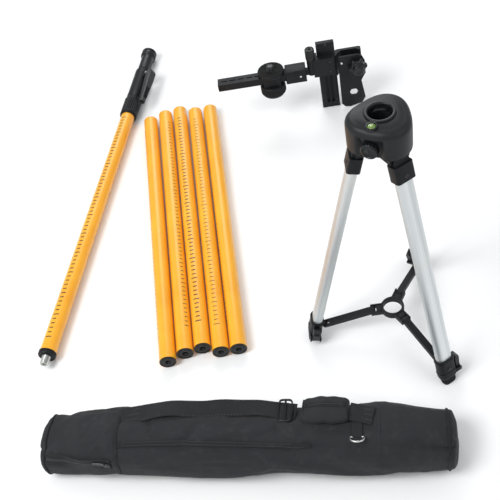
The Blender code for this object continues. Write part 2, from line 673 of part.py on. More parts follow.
def pole():
    axis = frame("pole_axis", move(POLE_AT[0], POLE_AT[1], POLE_Z) @ turn(POLE_TURN) @ along("X"), kit)
    ring_seat = END_RING_LENGTH
    hollow_tube("pole_tube", axis, ring_seat + GAP, TUBE_LENGTH)
    inside = TUBE_R - TUBE_WALL - GAP
    ring = [
        (inside, ring_seat + 0.030), (inside, ring_seat), (END_RING_R, ring_seat), (END_RING_R, 0.001),
        (END_RING_R - 0.001, 0.0), (STUD_R + GAP, 0.0), (STUD_R + GAP, ring_seat + 0.030),
    ]
    solid("pole_end_ring", *turned(ring, ROUND_SIDES, True), axis, HERE, PLASTIC)
    stud = [
        (STUD_R, ring_seat + 0.020), (STUD_R, -STUD_LENGTH + 0.001), (STUD_R - 0.001, -STUD_LENGTH),
        (STUD_BORE_R, -STUD_LENGTH), (STUD_BORE_R, -STUD_LENGTH + STUD_RECESS),
    ]
    solid("pole_stud", *turned(stud, PLUG_SIDES), axis, HERE, (ZINC, 0.32, 1.0))

    bore = TUBE_R + SLIDE_GAP
    nut = [
        (COLLAR_R - 0.0022, COLLAR_START), (collar_rib, COLLAR_START + 0.003),
        (collar_rib, COLLAR_END - 0.004), (HOUSING_R + 0.0008, COLLAR_END - 0.0025),
        (HOUSING_R, COLLAR_END), (bore, COLLAR_END), (bore, COLLAR_START),
    ]
    rings = [circle(radius, z, RIBBED_SIDES) for radius, z in nut]
    solid("collar_nut", *sweep(rings, True), axis, HERE, PLASTIC)

    slide_bore = MAST_R + SLIDE_GAP
    spigot = TUBE_LENGTH + GAP
    housing_profile = [
        (TUBE_R, spigot), (TUBE_R, COLLAR_END + GAP), (HOUSING_R, COLLAR_END + GAP),
        (HOUSING_R, HOUSING_END - 0.004), (HOUSING_R - 0.0022, HOUSING_END), (slide_bore, HOUSING_END),
        (slide_bore, spigot),
    ]
    housing = solid("lever_housing", *turned(housing_profile, ROUND_SIDES, True), axis, HERE, PLASTIC)
    side = frame("lever_side", turn(LEVER_CLOCK - POLE_LEVER_TURN), axis)
    pivot = frame("pole_lever_axis", move(POLE_LEVER_OUT, 0, LEVER_STATION), side)
    ear_in = POLE_LEVER_TANG / 2 + SLIDE_GAP
    for hand in (-1, 1):
        inner, outer = sorted((hand * ear_in, hand * (ear_in + 0.0035)))
        ear = box(
            (MAST_R + 0.0020, inner, LEVER_STATION - 0.010),
            (POLE_LEVER_OUT + 0.0036, outer, LEVER_STATION + 0.0042))
        boolean(housing, solid(f"housing_ear_{hand}", *ear, side, HERE, PLASTIC, True), "UNION")
    pin_hole = cross_pin("housing_pin_hole", POLE_LEVER_PIN_R + GAP, 0.015, pivot, HERE)
    boolean(housing, pin_hole)
    pole_lever(pivot, ear_in)

    slide = frame("mast_slide", HERE, axis)
    mast_top = POLE_END - CAP_END_WALL
    mast = tube_profile(MAST_R, MAST_R - MAST_WALL, CAP_START - MAST_HIDDEN, mast_top)
    solid("mast_tube", *turned(mast, ROUND_SIDES, True), slide, HERE, METAL)
    seat = MAST_R + GAP
    cap = [
        (CAP_SLEEVE_R, CAP_START), (CAP_SLEEVE_R, CAP_SHOULDER), (CAP_R - 0.001, CAP_SHOULDER + 0.001),
        (CAP_R, CAP_SHOULDER + 0.002), (CAP_R, POLE_END - 0.0055), (CAP_R - 0.0012, POLE_END - 0.0045),
        (CAP_R - 0.0012, POLE_END - 0.0010), (CAP_R - 0.0022, POLE_END),
    ]
    inside = [(seat, CAP_START), (seat, mast_top + GAP)]
    solid("mast_cap", *cup(inside, cap, ROUND_SIDES), slide, HERE, PLASTIC)


def pole_lever(pivot, ear_in):
    """Cam lever: a tang between the housing's ears, and a long handle that lies along the housing."""
    half = 0.0100
    near, far = 0.0058, 0.0190
    rings = []
    stations = [(LEVER_TOP, 0.86, 0.0, 0.8), (-0.003, 1.0, 0.0, 1.0), (-0.030, 1.0, 0.0, 1.0),
                (-0.060, 0.86, 0.0012, 0.86), (LEVER_TOP - POLE_LEVER_LENGTH, 0.62, 0.003, 0.62)]
    for z, wide, rise, deep in stations:
        low = near + rise
        high = near + rise + (far - near) * deep
        y = half * wide
        cut = 0.0025
        rings.append([Vector(p) for p in (
            (low, -y, z), (high - cut, -y, z), (high, -y + cut, z), (high, y - cut, z),
            (high - cut, y, z), (low, y, z))])
    lever = solid("pole_lever", *sweep(rings, False), pivot, HERE, PLASTIC)
    tang = box((-0.0036, -POLE_LEVER_TANG / 2, -0.0040), (near + 0.002, POLE_LEVER_TANG / 2, 0.0040))
    boolean(lever, solid("lever_tang", *tang, pivot, HERE, PLASTIC, True), "UNION")
    boolean(lever, cross_pin("pole_lever_pin", POLE_LEVER_PIN_R, ear_in + 0.0033, pivot, HERE), "UNION")


# ---------------------------------------------------------------- clamp bracket
JAW_LEFT = PLATE_WIDTH / 2 + 0.004
JAW_RIGHT = JAW_LEFT + JAW_WIDTH
JAW_FACE = -PLATE_DEPTH - 0.004   # the clamp plate's back face
HOOK_BACK = JAW_FACE + HOOK_SPACE
STAR_X = JAW_LEFT + 0.040
STAR_Z = JAW_HEIGHT - 0.026


def bracket():
    base = frame("bracket", move(BRACKET_AT[0], BRACKET_AT[1]) @ turn(BRACKET_TURN), kit)
    half = PLATE_WIDTH / 2
    plate = solid(
        "slide_plate", *box((-half, -PLATE_DEPTH, 0), (half, 0, PLATE_HEIGHT)), base, HERE, PLASTIC)
    bevel(plate, 0.0012)
    for x in (-0.0045, 0.0055):
        groove = box(
            (x - GROOVE_WIDTH / 2, -PLATE_DEPTH - 0.010, 0.014),
            (x + GROOVE_WIDTH / 2, -PLATE_DEPTH + GROOVE_DEPTH, 0.092))
        boolean(plate, solid(f"groove_{x}", *groove, base, HERE, PLASTIC, True))
    pole_hook(base)
    clamp_plate(base)
    height_slide(base)


def pole_hook(base):
    """Back jaw: from the slide plate's back it reaches round the space for the pole."""
    low, high = HOOK_Z
    left = -PLATE_WIDTH / 2 + 0.004
    right = STAR_X + 0.012
    back = HOOK_BACK
    outline = [
        (left, GAP), (JAW_LEFT - 0.002, GAP), (JAW_LEFT + 0.002, back - 0.008), (JAW_LEFT + 0.010, back),
        (right - 0.010, back), (right - 0.0035, back - 0.006), (right, back - 0.006),
        (right, back + HOOK_THICK - 0.002), (right - 0.004, back + HOOK_THICK),
        (JAW_LEFT + 0.004, back + HOOK_THICK), (left + 0.008, GAP + 0.014), (left, GAP + 0.010),
    ]
    hook = solid("pole_hook", *prism(outline, low, high), base, HERE, PLASTIC)
    hole = solid(
        "hook_screw_hole", *turned([(SCREW_R + GAP, -0.010), (SCREW_R + GAP, 0.060)], HOLE_SIDES),
        base, move(STAR_X, 0, STAR_Z) @ along("Y"), PLASTIC, True)
    boolean(hook, hole)


def clamp_plate(base):
    """Front jaw: a plate with a hexagonal window low down and a boss for the star knob's screw."""
    slide = frame("jaw_slide", HERE, base)
    back = JAW_FACE
    front = back - JAW_THICK
    outline = [
        (JAW_LEFT + 0.006, 0.002), (JAW_LEFT + 0.018, 0.0), (JAW_RIGHT - 0.012, 0.006),
        (JAW_RIGHT - 0.004, 0.020), (JAW_RIGHT - 0.010, 0.066), (JAW_RIGHT - 0.006, 0.074),
        (JAW_RIGHT, 0.084), (JAW_RIGHT, 0.116),
        (JAW_RIGHT - 0.006, 0.130), (JAW_RIGHT - 0.014, JAW_HEIGHT), (JAW_LEFT + 0.003, JAW_HEIGHT),
        (JAW_LEFT, JAW_HEIGHT - 0.004), (JAW_LEFT, 0.010),
    ]
    rings = [[Vector((x, y, z)) for x, z in outline] for y in (front, back)]
    jaw = solid("clamp_plate", *sweep(rings, False), slide, HERE, PLASTIC)
    bevel(jaw, 0.0009, 1)
    window = solid(
        "hex_window", *turned([(HEX_WINDOW_R, -0.040), (HEX_WINDOW_R, 0.010)], 6),
        slide, move(JAW_LEFT + 0.028, 0, 0.038) @ along("Y"), PLASTIC, True)
    boolean(jaw, window)
    rib = box(
        (JAW_LEFT + 0.004, back - 0.001, HOOK_Z[0]),
        (JAW_LEFT + 0.009, back + 0.0030, HOOK_Z[1] + 0.004))
    boolean(jaw, solid("jaw_rib", *rib, slide, HERE, PLASTIC, True), "UNION")
    hole = solid(
        "jaw_screw_hole", *turned([(SCREW_R + GAP, -0.060), (SCREW_R + GAP, 0.010)], HOLE_SIDES),
        slide, move(STAR_X, 0, STAR_Z) @ along("Y"), PLASTIC, True)
    boolean(jaw, hole)

    knob = frame("star_axis", move(STAR_X, front - GAP, STAR_Z) @ turn(90, "X"), slide)

    def star(angle):
        return STAR_R - 0.0024 + 0.0024 * math.cos(STAR_LOBES * angle)

    count = RIBBED_SIDES
    rings = [
        circle(SCREW_R, -(HOOK_SPACE + JAW_THICK + HOOK_THICK), count), circle(SCREW_R, 0.0, count),
        circle(lambda a: star(a) - 0.0015, 0.0, count), circle(star, 0.0015, count),
        circle(star, STAR_HEIGHT - 0.0030, count),
        circle(lambda a: star(a) - 0.0030, STAR_HEIGHT, count),
        circle(0.0125, STAR_HEIGHT, count), circle(0.0118, STAR_HEIGHT + 0.009, count),
        circle(0.0100, STAR_HEIGHT + 0.0105, count),
    ]
    solid("star_knob", *sweep(rings, False), knob, HERE, PLASTIC)


BLOCK_NOSE = 0.012                # rail block's end past its tilt pin
RAIL_SEAT = 0.0155                # depth of the rail's socket
TILT_OUT = 0.0165 + BLOCK_NOSE    # tilt pin, out from the slide block's side


def height_slide(base):
    """Block that climbs the slide plate and carries the rail, with its lock screw."""
    slide = frame("height_slide", HERE, base)
    front = -PLATE_DEPTH - SLIDE_GAP
    left = -PLATE_WIDTH / 2 - 0.010
    right = PLATE_WIDTH / 2 - 0.004
    block_top = BLOCK_Z + BLOCK_HEIGHT
    body = box((left, front - SLIDE_BLOCK_DEPTH, BLOCK_Z), (right, front, block_top))
    block = solid("slide_block", *body, slide, HERE, PLASTIC)
    cheek = box((left, front - 0.004, BLOCK_Z), (-PLATE_WIDTH / 2 - SLIDE_GAP, -0.002, block_top))
    boolean(block, solid("block_cheek", *cheek, slide, HERE, PLASTIC, True), "UNION")
    screw_x = left - 0.004
    screw_y = front - SLIDE_BLOCK_DEPTH / 2 + 0.001
    boss = solid(
        "block_boss", *turned([(BOSS_R, BLOCK_Z + 0.006), (BOSS_R, block_top)], PLUG_SIDES),
        slide, move(screw_x, screw_y), PLASTIC, True)
    boolean(block, boss, "UNION")
    bore = [(SCREW_R + GAP, BLOCK_Z + 0.012), (SCREW_R + GAP, block_top + 0.010)]
    drill = solid(
        "boss_hole", *turned(bore, HOLE_SIDES), slide, move(screw_x, screw_y), PLASTIC, True)
    reach = left - TILT_OUT
    nose = [Vector((reach + TONGUE_HIGH / 2 * math.cos(a), 0, RAIL_Z + TONGUE_HIGH / 2 * math.sin(a)))
            for a in [math.pi / 2 + math.pi * k / 8 for k in range(9)]]
    nose += [Vector((left + 0.002, 0, RAIL_Z + z)) for z in (-TONGUE_HIGH / 2, TONGUE_HIGH / 2)]
    middle = front - SLIDE_BLOCK_DEPTH / 2
    cheeks = (-TONGUE_THICK / 2, TONGUE_THICK / 2)
    sides = [[p + Vector((0, middle + y, 0)) for p in nose] for y in cheeks]
    tongue = solid("tongue", *sweep(sides, False), slide, HERE, PLASTIC, True)
    boolean(block, tongue, "UNION")
    boolean(block, drill)
    tilt_hole = cross_pin("tilt_hole", TILT_PIN_R + GAP, 0.020, slide, move(reach, middle, RAIL_Z))
    boolean(block, tilt_hole)
    axis = frame("lock_axis", move(screw_x, screw_y, block_top + GAP), slide)
    screw = [
        (SCREW_R, -0.024), (SCREW_R, 0.0), (LOCK_SCREW_R - 0.001, 0.0), (LOCK_SCREW_R, 0.001),
        (LOCK_SCREW_R, LOCK_SCREW_HEIGHT - 0.001), (LOCK_SCREW_R - 0.001, LOCK_SCREW_HEIGHT),
        (0.0035, LOCK_SCREW_HEIGHT), (0.0035, LOCK_SCREW_HEIGHT - 0.003),
    ]
    solid("slide_lock_screw", *turned(screw, PLUG_SIDES), axis, HERE, PLASTIC)
    rail_arm(slide, left, front)


def rail_arm(slide, left, front):
    """Block that tilts on the tongue's pin, and the channel rail held in its other end."""
    long, deep, high = RAIL_BLOCK
    tilt = frame("tilt_axis", move(left - TILT_OUT, front - SLIDE_BLOCK_DEPTH / 2, RAIL_Z), slide)
    block_left = BLOCK_NOSE - long
    block = solid(
        "rail_block", *box((block_left, -deep / 2, -high / 2), (BLOCK_NOSE, deep / 2, high / 2)),
        tilt, HERE, PLASTIC)
    bevel(block, 0.0015)
    socket = box(
        (block_left - 0.010, -RAIL_WIDTH / 2 - GAP, -RAIL_HEIGHT / 2 - GAP),
        (block_left + RAIL_SEAT + GAP, RAIL_WIDTH / 2 + GAP, RAIL_HEIGHT / 2 + GAP))
    boolean(block, solid("rail_socket", *socket, tilt, HERE, PLASTIC, True))
    slot = box(
        (-TONGUE_HIGH / 2 - 0.002, -TONGUE_THICK / 2 - SLIDE_GAP, -high / 2 - 0.010),
        (BLOCK_NOSE + 0.010, TONGUE_THICK / 2 + SLIDE_GAP, TONGUE_HIGH / 2 + 0.0035))
    boolean(block, solid("tongue_slot", *slot, tilt, HERE, PLASTIC, True))
    boolean(block, cross_pin("tilt_pin", TILT_PIN_R, deep / 2 - 0.002, tilt, HERE), "UNION")

    rail_end = block_left + RAIL_SEAT
    start = rail_end - RAIL_LENGTH
    half = RAIL_WIDTH / 2
    top = RAIL_HEIGHT / 2
    wall = RAIL_WALL
    section = [
        (-half, -top), (-half, top), (half, top), (half, -top), (half - wall, -top),
        (half - wall, top - wall), (-half + wall, top - wall), (-half + wall, -top),
    ]
    rings = [[Vector((x, y, z)) for y, z in section] for x in (start, rail_end)]
    rail = solid("rail", *sweep(rings, False), tilt, HERE, PLASTIC)
    for index in range(RAIL_SLOTS):
        middle = start + 0.014 + RAIL_SLOT_PITCH * index
        slot = box(
            (middle - 0.0062, -0.0014, top - wall - 0.002), (middle + 0.0062, 0.0014, top + 0.004))
        boolean(rail, solid(f"rail_slot_{index}", *slot, tilt, HERE, PLASTIC, True))
    platform(tilt, block_left - PLATFORM_CLEAR - PLATFORM_R)


def platform(tilt, station):
    """Round platform with its threaded stud, on a saddle that runs on the rail, and the wheel below."""
    slide = frame("platform_slide", move(station), tilt)
    top = RAIL_HEIGHT / 2 + SLIDE_GAP
    face = top + 0.003 + PLATFORM_THICK
    disc = [
        (PLATFORM_R - 0.006, top), (PLATFORM_R, top + 0.003), (PLATFORM_R, face - 0.001),
        (PLATFORM_R - 0.001, face), (STUD_MOUNT_R, face),
        (STUD_MOUNT_R, face + STUD_MOUNT_HEIGHT - 0.001),
        (STUD_MOUNT_R - 0.001, face + STUD_MOUNT_HEIGHT),
    ]
    plate = solid("platform", *turned(disc, HEAD_SIDES), slide, HERE, PLASTIC)
    low = -RAIL_HEIGHT / 2 - SLIDE_GAP
    side = RAIL_WIDTH / 2 + SLIDE_GAP
    wide = SADDLE_WIDTH / 2
    lip = 0.006
    mouth = 0.0085
    section = [
        (-side - 0.004, low - lip), (-side - 0.004, top + 0.0045), (side + 0.004, top + 0.0045),
        (side + 0.004, low - lip), (mouth, low - lip), (mouth, low), (side, low), (side, top),
        (-side, top), (-side, low), (-mouth, low), (-mouth, low - lip),
    ]
    rings = [[Vector((x, y, z)) for y, z in section] for x in (-wide, wide)]
    boolean(plate, solid("saddle", *sweep(rings, False), slide, HERE, PLASTIC, True), "UNION")

    spin = frame("wheel_axis", HERE, slide)
    wheel_top = low - lip - SLIDE_GAP
    wheel_low = wheel_top - WHEEL_HEIGHT

    def knurl(angle):
        return WHEEL_R if math.cos(WHEEL_RIBS * angle) > 0 else WHEEL_R - 0.0008

    count = RIBBED_SIDES
    rings = [
        circle(0.009, wheel_low + 0.003, count), circle(0.012, wheel_low, count),
        circle(WHEEL_R - 0.006, wheel_low, count),
        circle(knurl, wheel_low + 0.006, count), circle(knurl, wheel_top - 0.004, count),
        circle(WHEEL_R - 0.003, wheel_top, count), circle(0.005, wheel_top, count),
        circle(0.005, low + 0.003, count),
    ]
    solid("platform_wheel", *sweep(rings, False), spin, HERE, PLASTIC)


# ---------------------------------------------------------------- bag
def bag_station(t):
    """Half width, half height and centre height of the bag's section at t from 0 to 1."""
    ends = math.sin(math.pi * min(1.0, max(0.0, t * 0.94 + 0.03))) ** 0.22
    slack = 1.0 + 0.035 * math.sin(5.2 * math.pi * t + 0.6)
    half_high = BAG_HEIGHT / 2 * (0.55 + 0.45 * ends) * (1.0 - 0.05 * math.cos(3.1 * math.pi * t))
    return BAG_WIDTH / 2 * (0.62 + 0.38 * ends) * slack, half_high


def bag():
    base = frame("bag", move(BAG_AT[0], BAG_AT[1]) @ turn(BAG_TURN), kit)
    rings = []
    stations = 14
    around = 18
    for s in range(stations + 1):
        t = s / stations
        wide, high = bag_station(t)
        x = (t - 0.5) * BAG_LENGTH
        ring = []
        for i in range(around):
            a = 2 * math.pi * i / around
            c, v = math.cos(a), math.sin(a)
            y = wide * math.copysign(abs(c) ** 0.75, c)
            z = high + high * math.copysign(abs(v) ** 0.8, v)
            ring.append(Vector((x, y, z + 0.0002)))
        rings.append(ring)
    solid("bag_body", *sweep(rings, False), base, HERE, (CLOTH, 0.85))
    strap_piece("bag_strap", base, STRAP_FROM, PAD_FROM - GAP, STRAP_WIDTH, STRAP_THICK)
    strap_piece("strap_pad", base, PAD_FROM, PAD_TO, STRAP_WIDTH + 0.010, 0.014)
    strap_piece("strap_end", base, PAD_TO + GAP, STRAP_TO, STRAP_WIDTH, STRAP_THICK)


def strap_piece(name, base, start, end, width, thick):
    """A stretch of the carrying strap, lying along the top of the bag towards its back."""
    steps = max(2, round((end - start) / 0.020))
    rings = []
    for k in range(steps + 1):
        x = start + (end - start) * k / steps
        _, high = bag_station(x / BAG_LENGTH + 0.5)
        bulge = 0.5 - 0.5 * math.cos(2 * math.pi * (x - STRAP_FROM) / (STRAP_TO - STRAP_FROM))
        low = 2 * high + 0.0012 + 0.010 * bulge
        rings.append([Vector(p) for p in (
            (x, STRAP_Y - width / 2, low), (x, STRAP_Y + width / 2, low),
            (x, STRAP_Y + width / 2, low + thick), (x, STRAP_Y - width / 2, low + thick))])
    solid(name, *sweep(rings, False), base, HERE, (CLOTH, 0.8))


head_cover()
head_base()
collar_bush()
head_small_parts()
for number, letter in enumerate("abc"):
    leg(letter, number)
spreader()
extension_tubes()
pole()
bracket()
bag()
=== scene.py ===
import json
import math

import bmesh
import bpy
import numpy as np
from mathutils import Matrix, Vector
from mathutils.bvhtree import BVHTree


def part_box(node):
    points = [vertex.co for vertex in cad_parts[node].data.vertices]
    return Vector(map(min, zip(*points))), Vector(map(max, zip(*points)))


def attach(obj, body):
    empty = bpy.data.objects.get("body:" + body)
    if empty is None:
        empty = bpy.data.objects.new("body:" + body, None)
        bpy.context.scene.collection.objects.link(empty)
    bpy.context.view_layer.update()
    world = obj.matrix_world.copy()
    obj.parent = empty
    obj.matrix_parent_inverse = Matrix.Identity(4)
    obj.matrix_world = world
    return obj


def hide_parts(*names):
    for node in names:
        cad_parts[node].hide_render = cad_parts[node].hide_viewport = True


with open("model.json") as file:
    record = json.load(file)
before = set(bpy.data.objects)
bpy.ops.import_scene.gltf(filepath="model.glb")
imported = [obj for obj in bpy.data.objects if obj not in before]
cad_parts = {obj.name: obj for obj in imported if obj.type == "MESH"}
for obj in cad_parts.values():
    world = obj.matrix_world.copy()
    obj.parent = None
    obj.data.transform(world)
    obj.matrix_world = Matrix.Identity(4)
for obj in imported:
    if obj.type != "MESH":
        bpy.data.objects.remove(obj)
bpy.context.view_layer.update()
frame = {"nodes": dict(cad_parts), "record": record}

record = frame["record"]
bodyOf = {node: body for body, nodes in record["behaviour"]["bodies"].items() for node in nodes}
jointOf = {joint["name"]: joint for joint in record["behaviour"]["joints"]}
tau = 2 * math.pi
core = 0.0001      # radius that stands for the axis in a turned profile
upward = np.array([0, 0, 1.0])

# where the items lie, the same numbers as the CAD's layout
layout = {
    "tripodAt": (0.2707, -0.3135), "tripodTurn": -64.1,
    "poleAt": (-0.3473, -0.2525, 0.0192), "poleTurn": 75.6,
    "bracketAt": (0.2717, 0.3055), "bracketTurn": -4.0,
    "bagAt": (-0.0113, -0.5035), "bagTurn": -11.0,
    "tubeX": (-0.1273, -0.0958, -0.0643, -0.0328, -0.0013),
    "tubeY": (-0.3105, -0.2995, -0.2955, -0.3105, -0.3115),
    "tubeTurn": (90.55, 90.28, 90.10, 89.82, 89.62),
    "tubeRadius": 0.0150,
}


def turned(at, heading, tip=False):  # an item's frame, turned about Z; tip lays its Z along the heading
    z = at[2] if len(at) > 2 else 0.0
    made = Matrix.Translation((at[0], at[1], z)) @ Matrix.Rotation(math.radians(heading), 4, "Z")
    return made @ Matrix.Rotation(math.pi / 2, 4, "Y") if tip else made


tripodFrame = turned(layout["tripodAt"], layout["tripodTurn"])
poleFrame = turned(layout["poleAt"], layout["poleTurn"], True)
bracketFrame = turned(layout["bracketAt"], layout["bracketTurn"])
bagFrame = turned(layout["bagAt"], layout["bagTurn"])
tubeFrames = [turned((x, y, layout["tubeRadius"]), heading, True)
              for x, y, heading in zip(layout["tubeX"], layout["tubeY"], layout["tubeTurn"])]


def axesOf(matrix):  # X, Y, Z and origin of a frame
    m = np.array(matrix)
    return m[:3, 0], m[:3, 1], m[:3, 2], m[:3, 3]


def frameFrom(x, y, z, spot):
    return Matrix([[x[i], y[i], z[i], spot[i]] for i in range(3)] + [[0, 0, 0, 1]])


def jointSpot(name):
    joint = jointOf[name]
    return np.array(joint.get("pos_m", (0, 0, 0)), float), np.array(joint["axis"], float)


def legFrame(letter):  # origin on the hinge pin, Y along the pin, Z up the leg
    spot, pin = jointSpot(f"leg_{letter}_fold")
    up = -jointSpot(f"leg_{letter}_extend")[1]
    return frameFrom(np.cross(pin, up), pin, up, spot)


# ---- camera
camera = {"at": (0.1204, -1.1788, 1.2266), "down": 48.01, "roll": -14.11, "yaw": 4.0, "lens": 61.49}


def makeCamera(v):
    down, roll = math.radians(v["down"]), math.radians(v["roll"])
    ahead = Vector((0, math.cos(down), -math.sin(down)))
    up = Vector((0, math.sin(down), math.cos(down)))
    right = Vector((1, 0, 0))
    x = math.cos(roll) * right + math.sin(roll) * up
    y = -math.sin(roll) * right + math.cos(roll) * up
    turn = Matrix.Rotation(math.radians(v["yaw"]), 3, "Z")
    axes = Matrix([turn @ x, turn @ y, turn @ -ahead]).transposed()
    data = bpy.data.cameras.new("camera")
    data.lens = v["lens"]
    data.sensor_width = 36.0
    data.clip_start, data.clip_end = 0.05, 20.0
    made = bpy.data.objects.new("camera", data)
    made.matrix_world = Matrix.Translation(v["at"]) @ axes.to_4x4()
    bpy.context.scene.collection.objects.link(made)
    bpy.context.scene.camera = made


makeCamera(camera)
print("camera set")


# ---- material helpers
def put(tree, kind, values=None, **settings):
    made = tree.nodes.new("ShaderNode" + kind)
    for name, value in settings.items():
        setattr(made, name, value)
    for name, value in (values or {}).items():
        made.inputs[name].default_value = value
    return made


def plug(tree, value, socket):  # a number, a colour or another node's output into a socket
    if isinstance(value, (int, float)):
        socket.default_value = value
    elif isinstance(value, tuple):
        socket.default_value = (*value, 1.0)
    elif value is not None:
        tree.links.new(value, socket)


def calc(tree, operation, a, b=None):
    made = put(tree, "Math", operation=operation)
    plug(tree, a, made.inputs[0])
    plug(tree, b, made.inputs[1])
    return made.outputs[0]


def spread(tree, value, low, high, toLow=0.0, toHigh=1.0):
    limits = {"From Min": low, "From Max": high, "To Min": toLow, "To Max": toHigh}
    made = put(tree, "MapRange", limits, clamp=True)
    tree.links.new(value, made.inputs["Value"])
    return made.outputs["Result"]


def blend(tree, amount, a, b):
    made = put(tree, "Mix", data_type="RGBA")
    for index, value in ((0, amount), (6, a), (7, b)):
        plug(tree, value, made.inputs[index])
    return made.outputs[2]


def newGroup(name, inputs, outputs):  # the place comes in first; everything else in and out is a number
    tree = bpy.data.node_groups.new(name, "ShaderNodeTree")
    tree.interface.new_socket("Place", in_out="INPUT", socket_type="NodeSocketVector")
    for direction, labels in (("INPUT", inputs), ("OUTPUT", outputs)):
        for label in labels:
            tree.interface.new_socket(label, in_out=direction, socket_type="NodeSocketFloat")
    return tree, tree.nodes.new("NodeGroupInput").outputs, tree.nodes.new("NodeGroupOutput").inputs


def noise(tree, where, scale, detail, rough):
    made = put(tree, "TexNoise", {"Detail": detail, "Roughness": rough})
    tree.links.new(where, made.inputs["Vector"])
    plug(tree, scale, made.inputs["Scale"])
    return made.outputs["Fac"]


def grainNodes():  # fine pits for the height, and slow drifts and dust for the tone
    tree, given, result = newGroup("mouldedGrain", ("Pits", "Drift"), ("Height", "Tone", "Dust"))
    where, drift = given["Place"], given["Drift"]
    dust = noise(tree, where, calc(tree, "MULTIPLY", drift, 4.3), 6.0, 0.72)
    tree.links.new(noise(tree, where, given["Pits"], 2.0, 0.6), result["Height"])
    tree.links.new(noise(tree, where, drift, 3.0, 0.55), result["Tone"])
    tree.links.new(spread(tree, dust, 0.54, 0.72), result["Dust"])
    return tree


def drawnNodes():  # drawn metal: noise stretched along Z of the given place
    tree, given, result = newGroup("drawnMetal", ("Across",), ("Height", "Streak", "Patch"))
    squeeze = put(tree, "Mapping", {"Scale": (1.0, 1.0, 0.012)})
    tree.links.new(given["Place"], squeeze.inputs["Vector"])
    where, across = squeeze.outputs["Vector"], given["Across"]
    tree.links.new(noise(tree, where, across, 3.0, 0.65), result["Height"])
    tree.links.new(noise(tree, where, calc(tree, "MULTIPLY", across, 0.12), 2.0, 0.5), result["Streak"])
    tree.links.new(noise(tree, given["Place"], 9.0, 3.0, 0.6), result["Patch"])
    return tree


def weaveNodes():  # plain weave: two crossing waves, one thread over the other in turn
    tree, given, result = newGroup("plainWeave", ("Threads",), ("Height", "Over"))
    apart = put(tree, "SeparateXYZ")
    tree.links.new(given["Place"], apart.inputs[0])
    crosswise = calc(tree, "ADD", apart.outputs["Y"], apart.outputs["Z"])
    warp, weft = [calc(tree, "SINE", calc(tree, "MULTIPLY", way, given["Threads"]))
                  for way in (apart.outputs["X"], crosswise)]
    over = calc(tree, "MULTIPLY", warp, weft)
    rib = calc(tree, "ADD", calc(tree, "ABSOLUTE", warp), calc(tree, "ABSOLUTE", weft))
    tree.links.new(calc(tree, "MULTIPLY_ADD", over, 0.5), result["Over"])
    tree.links.new(calc(tree, "ADD", calc(tree, "MULTIPLY", rib, 0.35), over), result["Height"])
    return tree


grainGroup, drawnGroup, weaveGroup = grainNodes(), drawnNodes(), weaveNodes()


def newLook(name, matrix=None):  # a material, its nodes and its place, in an item's frame if one is given
    made = bpy.data.materials.new(name)
    made.use_nodes = True
    tree = made.node_tree
    where = put(tree, "TexCoord").outputs["Object"]
    if matrix is not None:
        back = matrix.inverted()
        mapping = put(tree, "Mapping", {"Location": back.translation, "Rotation": back.to_euler()})
        tree.links.new(where, mapping.inputs["Vector"])
        where = mapping.outputs["Vector"]
    return made, tree, where


def pattern(tree, group, where, **values):
    made = tree.nodes.new("ShaderNodeGroup")
    made.node_tree = group
    for name, value in values.items():
        made.inputs[name].default_value = value
    tree.links.new(where, made.inputs["Place"])
    return made.outputs


def finished(made, slot, colour, rough, bump=None, **levels):
    # wires the shader up; bump is (height, strength, distance), and a level's underscores stand for spaces
    tree = made.node_tree
    sockets = tree.nodes["Principled BSDF"].inputs
    plug(tree, colour, sockets["Base Color"])
    plug(tree, rough, sockets["Roughness"])
    for name, value in levels.items():
        sockets[name.replace("_", " ")].default_value = value
    if bump:
        relief = put(tree, "Bump", {"Strength": bump[1], "Distance": bump[2]})
        tree.links.new(bump[0], relief.inputs["Height"])
        tree.links.new(relief.outputs["Normal"], sockets["Normal"])
    return made, slot


plastics = {
    "blackMoulding": {
        "dark": (0.0055, 0.0062, 0.0075), "light": (0.0110, 0.0120, 0.0140), "dust": (0.045, 0.045, 0.044),
        "dustiness": 0.12, "gloss": 0.20, "rough": (0.40, 0.56), "pits": 2600.0, "drift": 26.0, "bump": 0.20},
    "satinBlack": {
        "dark": (0.0050, 0.0055, 0.0065), "light": (0.0105, 0.0110, 0.0125), "dust": (0.040, 0.040, 0.040),
        "dustiness": 0.10, "gloss": 0.34, "rough": (0.26, 0.40), "pits": 3200.0, "drift": 34.0, "bump": 0.10},
    "headMoulding": {
        "dark": (0.0085, 0.0092, 0.0105), "light": (0.0160, 0.0170, 0.0190), "dust": (0.060, 0.060, 0.058),
        "dustiness": 0.12, "gloss": 0.24, "rough": (0.36, 0.50), "pits": 2400.0, "drift": 24.0, "bump": 0.20},
    "rubberBlack": {
        "dark": (0.0090, 0.0090, 0.0095), "light": (0.017, 0.017, 0.0175), "dust": (0.085, 0.082, 0.076),
        "dustiness": 0.32, "gloss": 0.18, "rough": (0.70, 0.86), "pits": 1500.0, "drift": 60.0, "bump": 0.35,
        "slot": "rubber"},
}


def plastic(name, v):
    made, tree, where = newLook(name)
    grain = pattern(tree, grainGroup, where, Pits=v["pits"], Drift=v["drift"])
    colour = blend(tree, spread(tree, grain["Tone"], 0.30, 0.70), v["dark"], v["light"])
    dusty = calc(tree, "MULTIPLY", grain["Dust"], v["dustiness"])
    rough = spread(tree, grain["Tone"], 0.25, 0.75, *v["rough"])
    rough = calc(tree, "ADD", rough, calc(tree, "MULTIPLY", dusty, 0.5))
    return finished(made, v.get("slot", "black_plastic"), blend(tree, dusty, colour, v["dust"]), rough,
                    (grain["Height"], v["bump"], 0.0002), Specular_IOR_Level=v["gloss"])


